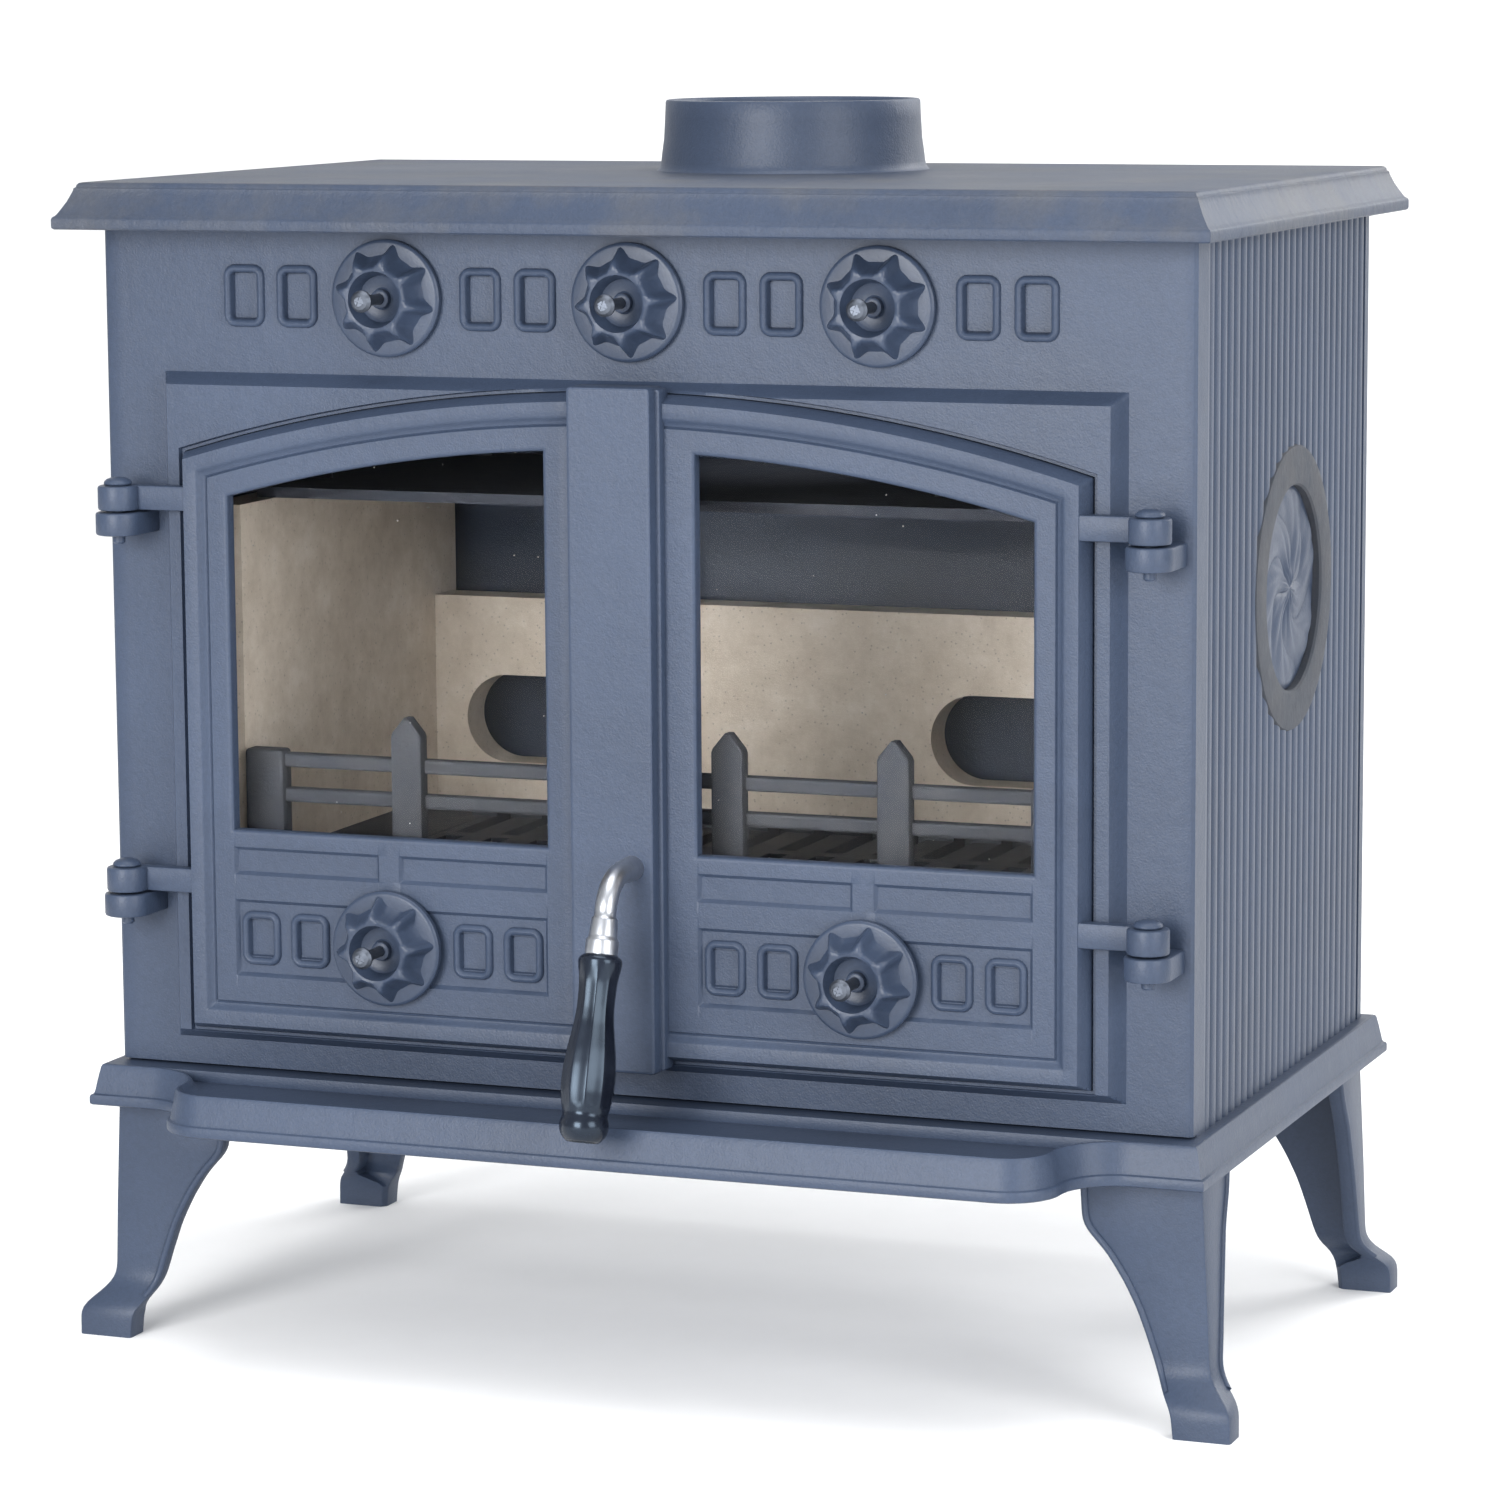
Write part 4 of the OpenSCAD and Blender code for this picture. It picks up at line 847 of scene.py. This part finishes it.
class STOVE_OT_side_plates(StoveOperator):
    """Side plates: half-round reeding as a function of depth, and a ring round a panel of turned leaves"""
    bl_idname = "stove.side_plates"
    bl_label = "Side plates"

    def build(self, sizes):
        height = sizes.rib_height / MM
        cy, cz = 195.8, 274.9
        start, pitch = 23.0, 325.0 / sizes.ribs
        y = np.concatenate([[8.0, 9.0, 20.0], start + np.arange(sizes.ribs * 8 + 1) * pitch / 8])
        z = np.unique(np.concatenate([[0.0, BODY_H], np.linspace(cz - 74, cz + 74, 94),
                                      np.linspace(0, BODY_H, 9)]))
        Y, Z = np.meshgrid(y, z)
        phase = ((Y - start) / pitch) % 1.0 * 2 - 1
        reed = height * np.sqrt(np.clip(1 - (0.97 * phase) ** 2, 0, 1))
        x = np.where(Y < start + 0.01, BODY_HALF, BODY_HALF - height + reed)
        x = np.where(np.hypot(Y - cy, Z - cz) < 71.0, BODY_HALF - 5.5, x)
        plate = relief(np.stack([x, Y, Z], -1), np.stack([np.full(x.shape, BODY_HALF - 8), Y, Z], -1),
                       np.ones((len(z) - 1, len(y) - 1), bool))
        ring = revolve([(58.0, 313.5), (57.6, 319.2), (58.6, 320.4), (61.0, 320.9), (77.0, 320.9),
                        (79.6, 320.5), (80.4, 319.4), (80.6, 313.5)], (0, cy, cz), "x", 128, True)
        angle = circle(192)
        steps = np.append(np.linspace(0.6, 57.5, 40), 57.6)
        rings = []
        for r in steps:
            leaf = np.abs(np.cos(3 * angle + 1.3 * math.sin(r / 11.0)))
            vein = np.abs(np.cos(9 * angle - r / 10.0))
            fade = min(1.0, r / 9.0) * min(1.0, (58.0 - r) / 5.0 + 0.1)
            lift = 315.0 + fade * (1.9 * leaf**0.7 + 0.8 * vein * leaf) + 2.6 * math.exp(-(r / 8.0) ** 2)
            rings.append(np.stack([lift, cy + r * np.cos(angle), cz + r * np.sin(angle)], -1))
        rings.append(rings[-1] * [0, 1, 1] + [313.0, 0, 0])
        panel = loft(np.array(rings))
        for side, word in ((-1, "left"), (1, "right")):
            node = f"{word}_side_plate"
            make_piece(node + "_casting", [mirror_x(plate, side)], finish("paint"), "stove_body", (node,))
            make_piece(f"{word}_medallion_ring", [mirror_x(ring, side)], finish("ring"), "stove_body")
            make_piece(f"{word}_medallion_leaves", [mirror_x(panel, side)], finish("paint"), "stove_body")


class STOVE_OT_doors(StoveOperator):
    """Doors: the relief plate with straps, port frames and wheel seat, and the right door's meeting bar"""
    bl_idname = "stove.doors"
    bl_label = "Doors"

    def build(self, sizes):
        for side, word, inner in ((-1, "left", 27.5), (1, "right", -24.5)):
            shells = [door_plate(inner, side)]
            shells += [strap(side, low) for low in HINGE_Z]
            seat = [(36.5, 0.0), (36.5, 3.6), (35.9, 4.6), (34.8, 5.0)]
            shells.append(revolve([(r, -(h - 5.0) + FIELD_Y - 1.5) for r, h in seat],
                                  (side * WHEEL_X, 0.0, DOOR_VENT_Z), "y", 96))
            shells += [port_frame(side * (WHEEL_X + dx), DOOR_VENT_Z, 24.0, 31.0, FIELD_Y + 2.2)
                       for dx in DOOR_PORTS]
            if side > 0:
                bar = slab(rounded_outline(49.0, 376.0, 2.4), 0.0, 20.5, 1.6)
                step = slab(rounded_outline(46.0, 374.0, 2.0), 0.0, 12.5, 1.2)
                shells += [stand_up(bar, (0.0, 209.0), -12.5), stand_up(step, (4.2, 209.0), -12.5)]
            body = f"{word}_door_body"
            make_piece(f"{word}_door_casting", shells, finish("paint"), body, (f"{word}_door",))


class STOVE_OT_hinge_pins(StoveOperator):
    """Hinge pins: a domed head on a plain shank, turned about the hinge's axis"""
    bl_idname = "stove.hinge_pins"
    bl_label = "Hinge pins"

    def build(self, sizes):
        for side, word in ((-1, "left"), (1, "right")):
            pins = []
            for low in HINGE_Z:
                tip, top = low - 19.0, low + 14.4
                section = [(0.0, tip), (2.6, tip), (3.5, tip + 1.0), (3.5, top), (7.6, top),
                           (8.0, top + 0.7), (7.7, top + 1.8), (6.3, top + 3.1), (3.8, top + 4.0),
                           (0.0, top + 4.3)]
                pins.append(revolve(section, (side * HINGE[0], HINGE[1], 0.0), n=40))
            node = f"{word}_hinge_pins"
            make_piece(node + "_turned", pins, finish("paint"), "stove_body", (node,))


class STOVE_OT_air_wheels(StoveOperator):
    """Air wheels: three above the doors and one on each door, each turned to a rest position of its own"""
    bl_idname = "stove.air_wheels"
    bl_label = "Air wheels"

    def build(self, sizes):
        for k, word in enumerate(("left", "centre", "right")):
            x = (k - 1) * VENT_PITCH
            air_wheel(f"{word}_vent_wheel_casting", f"{word}_vent", f"{word}_vent_wheel", x, VENT_Z, 0.0,
                      11.0 + 17 * k)
        for side, word in ((-1, "left"), (1, "right")):
            air_wheel(f"{word}_door_wheel_casting", f"{word}_door_vent", f"{word}_door_wheel",
                      side * WHEEL_X, DOOR_VENT_Z, FIELD_Y - 1.5, 20.0 - 9 * side)


SPINDLE = (12.0, 135.5)
GRIP_TILT = math.radians(16.5)
ELBOW_R = 24.0
ARM_STRAIGHT = 15.0
GRIP_AT = 24.0


def along_grip(s):
    """Point at a distance s down the hanging end of the arm."""
    s = np.asarray(s, float)[..., None]
    start = np.array([SPINDLE[0], BAR_Y - ARM_STRAIGHT - ELBOW_R * math.cos(GRIP_TILT),
                      SPINDLE[1] - ELBOW_R * (1 - math.sin(GRIP_TILT))])
    return start + s * np.array([0.0, -math.sin(GRIP_TILT), -math.cos(GRIP_TILT)])


def grip_rings(stations, radii, n=1, depth=0.0, points=160):
    """Rings across the grip's axis, each flute dipping by depth times its station's radius."""
    angle = circle(points)
    dip = np.abs(np.sin(angle * n / 2))
    across = np.array([0.0, math.cos(GRIP_TILT), -math.sin(GRIP_TILT)])
    centre = along_grip(GRIP_AT + np.asarray(stations))
    fade = ramp(np.asarray(stations), 5.0, 17.0) * (1 - ramp(np.asarray(stations), 79.0, 86.0))
    r = np.asarray(radii)[:, None] * (1 - depth * fade[:, None] * dip)
    return centre[:, None, :] + r[..., None] * (np.cos(angle)[:, None] * [1.0, 0, 0]
                                                + np.sin(angle)[:, None] * across)


class STOVE_OT_handle(StoveOperator):
    """Handle: a bent steel arm as a tube along a straight, an arc and a straight, and a fluted turned grip"""
    bl_idname = "stove.handle"
    bl_label = "Door handle"

    def build(self, sizes):
        x, z = SPINDLE
        bend = np.linspace(0, math.pi / 2 - GRIP_TILT, 26)[1:-1]
        arc = np.stack([np.full(len(bend), x), BAR_Y - ARM_STRAIGHT - ELBOW_R * np.sin(bend),
                        z - ELBOW_R * (1 - np.cos(bend))], -1)
        lead = np.array([[x, 4.0, z], [x, BAR_Y, z], [x, BAR_Y - 8.0, z], [x, BAR_Y - ARM_STRAIGHT, z]])
        stations = [0.0, 3.2, 4.2, 5.0, 13.5, 14.6, 15.8, 16.8, 23.0, 24.0, 24.2, 32.0]
        radii = [5.9, 6.0, 6.8, 7.1, 7.7, 7.9, 8.7, 8.9, 8.9, 8.7, 6.0, 6.0]
        path = np.concatenate([lead, arc, along_grip(stations)])
        arm = tube(path, [6.9, 6.9, 6.4, 6.2] + [6.0] * len(arc) + radii, 48)
        washer = [(0.0, -33.5), (9.2, -33.5), (9.6, -34.3), (9.2, -36.4), (7.8, -38.2), (6.6, -39.0),
                  (0.0, -39.0)]
        boss = revolve([(r, y) for r, y in washer], (x, 0.0, z), "y", 56)
        make_piece("handle_arm_turned", [arm, boss], finish("polished"), "handle", ("handle_arm",))
        r = 15.0
        table = [(0.0, 0.62), (0.2, 0.74), (1.2, 0.8), (3.0, 0.81), (7.0, 0.775), (14.0, 0.72),
                 (20.0, 0.695), (28.0, 0.69), (36.0, 0.735), (44.0, 0.82), (52.0, 0.91), (60.0, 0.975),
                 (67.0, 1.0), (74.0, 0.985), (80.0, 0.93), (84.0, 0.86), (85.8, 0.79), (86.6, 0.77),
                 (87.6, 0.82), (89.2, 0.875), (91.5, 0.9), (94.0, 0.895), (96.8, 0.84), (99.2, 0.74),
                 (100.6, 0.64), (101.0, 0.58), (100.6, 0.51), (99.0, 0.5), (88.0, 0.49)]
        s, k = np.array(table).T
        outside = np.argmax(s)
        fine = np.linspace(0.0, s[outside], 110)
        profile = np.interp(fine, s[:outside + 1], k[:outside + 1])
        for _ in range(5):
            profile[1:-1] = (profile[:-2] + 2 * profile[1:-1] + profile[2:]) / 4
        fine, profile = np.append(fine, s[outside + 1:]), np.append(profile, k[outside + 1:])
        grip = loft(grip_rings(fine, profile * r, sizes.flutes, 0.055))
        make_piece("handle_grip_moulded", [grip], finish("grip"), "handle", ("handle_grip",),
                   70.0)


class STOVE_OT_fire_fence(StoveOperator):
    """Fire fence: pointed pickets on two rails between end plates, as softened slabs"""
    bl_idname = "stove.fire_fence"
    bl_label = "Fire fence"

    def build(self, sizes):
        foot = 116.4
        picket = np.array([[-9.5, 0], [9.5, 0], [9.5, 77.0], [8.6, 79.4], [1.4, 88.0], [-1.4, 88.0],
                           [-8.6, 79.4], [-9.5, 77.0]])
        shells = [stand_up(slab(picket, 0, 10, 1.6), (s * 96.9 + t * 48.4, foot), 26.0)
                  for s, t in ((-1, -1), (-1, 1), (1, -1), (1, 1))]
        rail = dense(rounded_outline(494.0, 8.0, 2.4), 60.0)
        shells += [stand_up(slab(rail, 0, 9, 1.6), (0, foot + h), 30.0) for h in (39.8, 59.8)]
        cheek = slab(rounded_outline(24.0, 66.0, 2.4), 0, 12, 1.6)
        shells += [stand_up(cheek, (s * 235.0, foot + 33.0), 30.0) for s in (-1, 1)]
        make_piece("fire_fence_casting", shells, finish("soot"), "fence", ("fire_fence",))


class STOVE_OT_inner_parts(StoveOperator):
    """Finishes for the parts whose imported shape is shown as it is"""
    bl_idname = "stove.inner_parts"
    bl_label = "Fixings and firebox"

    def build(self, sizes):
        dress("paint", "back_plate", "rear_blanking_plate")
        dress("soot", "grate_frame", "fire_grate")
        dress("shade", "baffle_plate")
        dress("board", "left_liner", "right_liner", "back_liner")
        dress("glass", "left_glass", "right_glass")
        dress("rope", "left_glass_gasket", "right_glass_gasket", "left_door_rope", "right_door_rope")
        dress("zinc", "vent_screws", "left_door_screw", "right_door_screw", "ash_pan", "ash_pan_rails")
        dress("steel", "leg_bolts", "tie_rods", "collar_bolts", "blanking_bolts", "left_glass_clips",
              "right_glass_clips", "left_clip_screws", "right_clip_screws", "grip_screw", "latch_cam",
              "latch_nut")


class STOVE_OT_stage(StoveOperator):
    """Stage: a pale floor, soft lights, an even sky and the camera"""
    bl_idname = "stove.stage"
    bl_label = "Stage"

    LIGHTS = (("key", (-0.6, -4.2, 1.3), 2.0, 210.0), ("fill", (3.4, -2.0, 1.4), 2.0, 100.0),
              ("top", (0.3, -0.4, 3.4), 2.4, 80.0), ("back", (1.8, 2.8, 2.0), 1.8, 60.0))
    CAMERA = (1079.1, -2613.1, 609.0)
    YAW, PITCH, ROLL = 21.10, 8.32, -0.36

    def build(self, sizes):
        scene = bpy.context.scene
        low = CAD_BOX[0][2]
        sweep = [(-6.0, 0.0), (2.6, 0.0), (3.2, 0.1), (3.7, 0.4), (4.0, 0.9), (4.1, 1.5), (4.1, 6.0)]
        points = [(x, y, low + z) for x in (-12.0, 12.0) for y, z in sweep]
        count = len(sweep)
        mesh = bpy.data.meshes.new("floor")
        mesh.from_pydata(points, [], [(k, k + count, k + count + 1, k + 1) for k in range(count - 1)])
        for face in mesh.polygons:
            face.use_smooth = True
        mesh.materials.append(studio_floor(tuple(scene.stove_looks.floor)))
        floor = bpy.data.objects.new("floor", mesh)
        scene.collection.objects.link(floor)
        world = bpy.data.worlds.new("sky")
        world.use_nodes = True
        world.node_tree.nodes["Background"].inputs["Color"].default_value = (0.96, 0.98, 1.0, 1.0)
        world.node_tree.nodes["Background"].inputs["Strength"].default_value = 0.55
        scene.world = world
        for name, place, size, power in self.LIGHTS:
            light = bpy.data.lights.new(name, "AREA")
            light.size, light.energy = size, power
            obj = bpy.data.objects.new(name, light)
            obj.matrix_world = look_at(place, (0.0, 0.0, 0.3))
            scene.collection.objects.link(obj)
        data = bpy.data.cameras.new("camera")
        data.lens, data.sensor_width = 124.78, 36.0
        data.shift_x, data.shift_y = -0.0026, -0.0009
        data.clip_end = 60.0
        camera = bpy.data.objects.new("camera", data)
        yaw, pitch, roll = (math.radians(a) for a in (self.YAW, self.PITCH, self.ROLL))
        level = math.cos(pitch)
        ahead = np.array([-math.sin(yaw) * level, math.cos(yaw) * level, -math.sin(pitch)])
        right = np.array([math.cos(yaw), math.sin(yaw), 0.0])
        up = np.cross(right, ahead)
        c, s = math.cos(roll), math.sin(roll)
        right, up = c * right + s * up, c * up - s * right
        matrix = np.eye(4)
        matrix[:3, 0], matrix[:3, 1], matrix[:3, 2] = right, up, -ahead
        matrix[:3, 3] = np.array(self.CAMERA) * MM + DATUM
        camera.matrix_world = Matrix(matrix.tolist())
        scene.collection.objects.link(camera)
        scene.camera = camera
        scene.view_settings.view_transform = "Standard"


def look_at(place, target):
    """Matrix of a light at a place that shines at a target."""
    ahead = np.array(target, float) - np.array(place, float)
    ahead /= np.linalg.norm(ahead)
    right = np.cross(ahead, [0.0, 0.0, 1.0])
    right /= np.linalg.norm(right)
    matrix = np.eye(4)
    matrix[:3, 0], matrix[:3, 1], matrix[:3, 2], matrix[:3, 3] = right, np.cross(right, ahead), -ahead, place
    return Matrix(matrix.tolist())


def dense(outline, step):
    """The closed outline with its long edges cut so that none is longer than step."""
    ends = np.roll(outline, -1, 0)
    parts = [a + (b - a) * np.linspace(0, 1, max(1, math.ceil(np.linalg.norm(b - a) / step)),
                                       endpoint=False)[:, None]
             for a, b in zip(outline, ends)]
    return np.concatenate(parts)


PIECES = (STOVE_OT_stage, STOVE_OT_top_plate, STOVE_OT_flue_collar, STOVE_OT_base_plate, STOVE_OT_legs,
          STOVE_OT_front_plate, STOVE_OT_side_plates, STOVE_OT_doors, STOVE_OT_hinge_pins,
          STOVE_OT_air_wheels, STOVE_OT_handle, STOVE_OT_fire_fence, STOVE_OT_inner_parts)


class STOVE_PT_panel(bpy.types.Panel):
    """Sidebar panel with the sizes, the colours and a button for each piece."""
    bl_idname = "STOVE_PT_panel"
    bl_label = "Wood burning stove"
    bl_space_type = "VIEW_3D"
    bl_region_type = "UI"
    bl_category = "Stove"

    def draw(self, context):
        column = self.layout.column()
        for group in (context.scene.stove_sizes, context.scene.stove_looks):
            for key in group.__annotations__:
                column.prop(group, key)
        for piece in PIECES:
            column.operator(piece.bl_idname)


CLASSES = (StoveSizes, StoveLooks, *PIECES, STOVE_PT_panel)


def register():
    for item in CLASSES:
        bpy.utils.register_class(item)
    bpy.types.Scene.stove_sizes = PointerProperty(type=StoveSizes)
    bpy.types.Scene.stove_looks = PointerProperty(type=StoveLooks)


def unregister():
    del bpy.types.Scene.stove_looks
    del bpy.types.Scene.stove_sizes
    for item in reversed(CLASSES):
        bpy.utils.unregister_class(item)


def main():
    register()
    for piece in PIECES:
        category, name = piece.bl_idname.split(".")
        getattr(getattr(bpy.ops, category), name)()


if __name__ == "__main__":
    main()
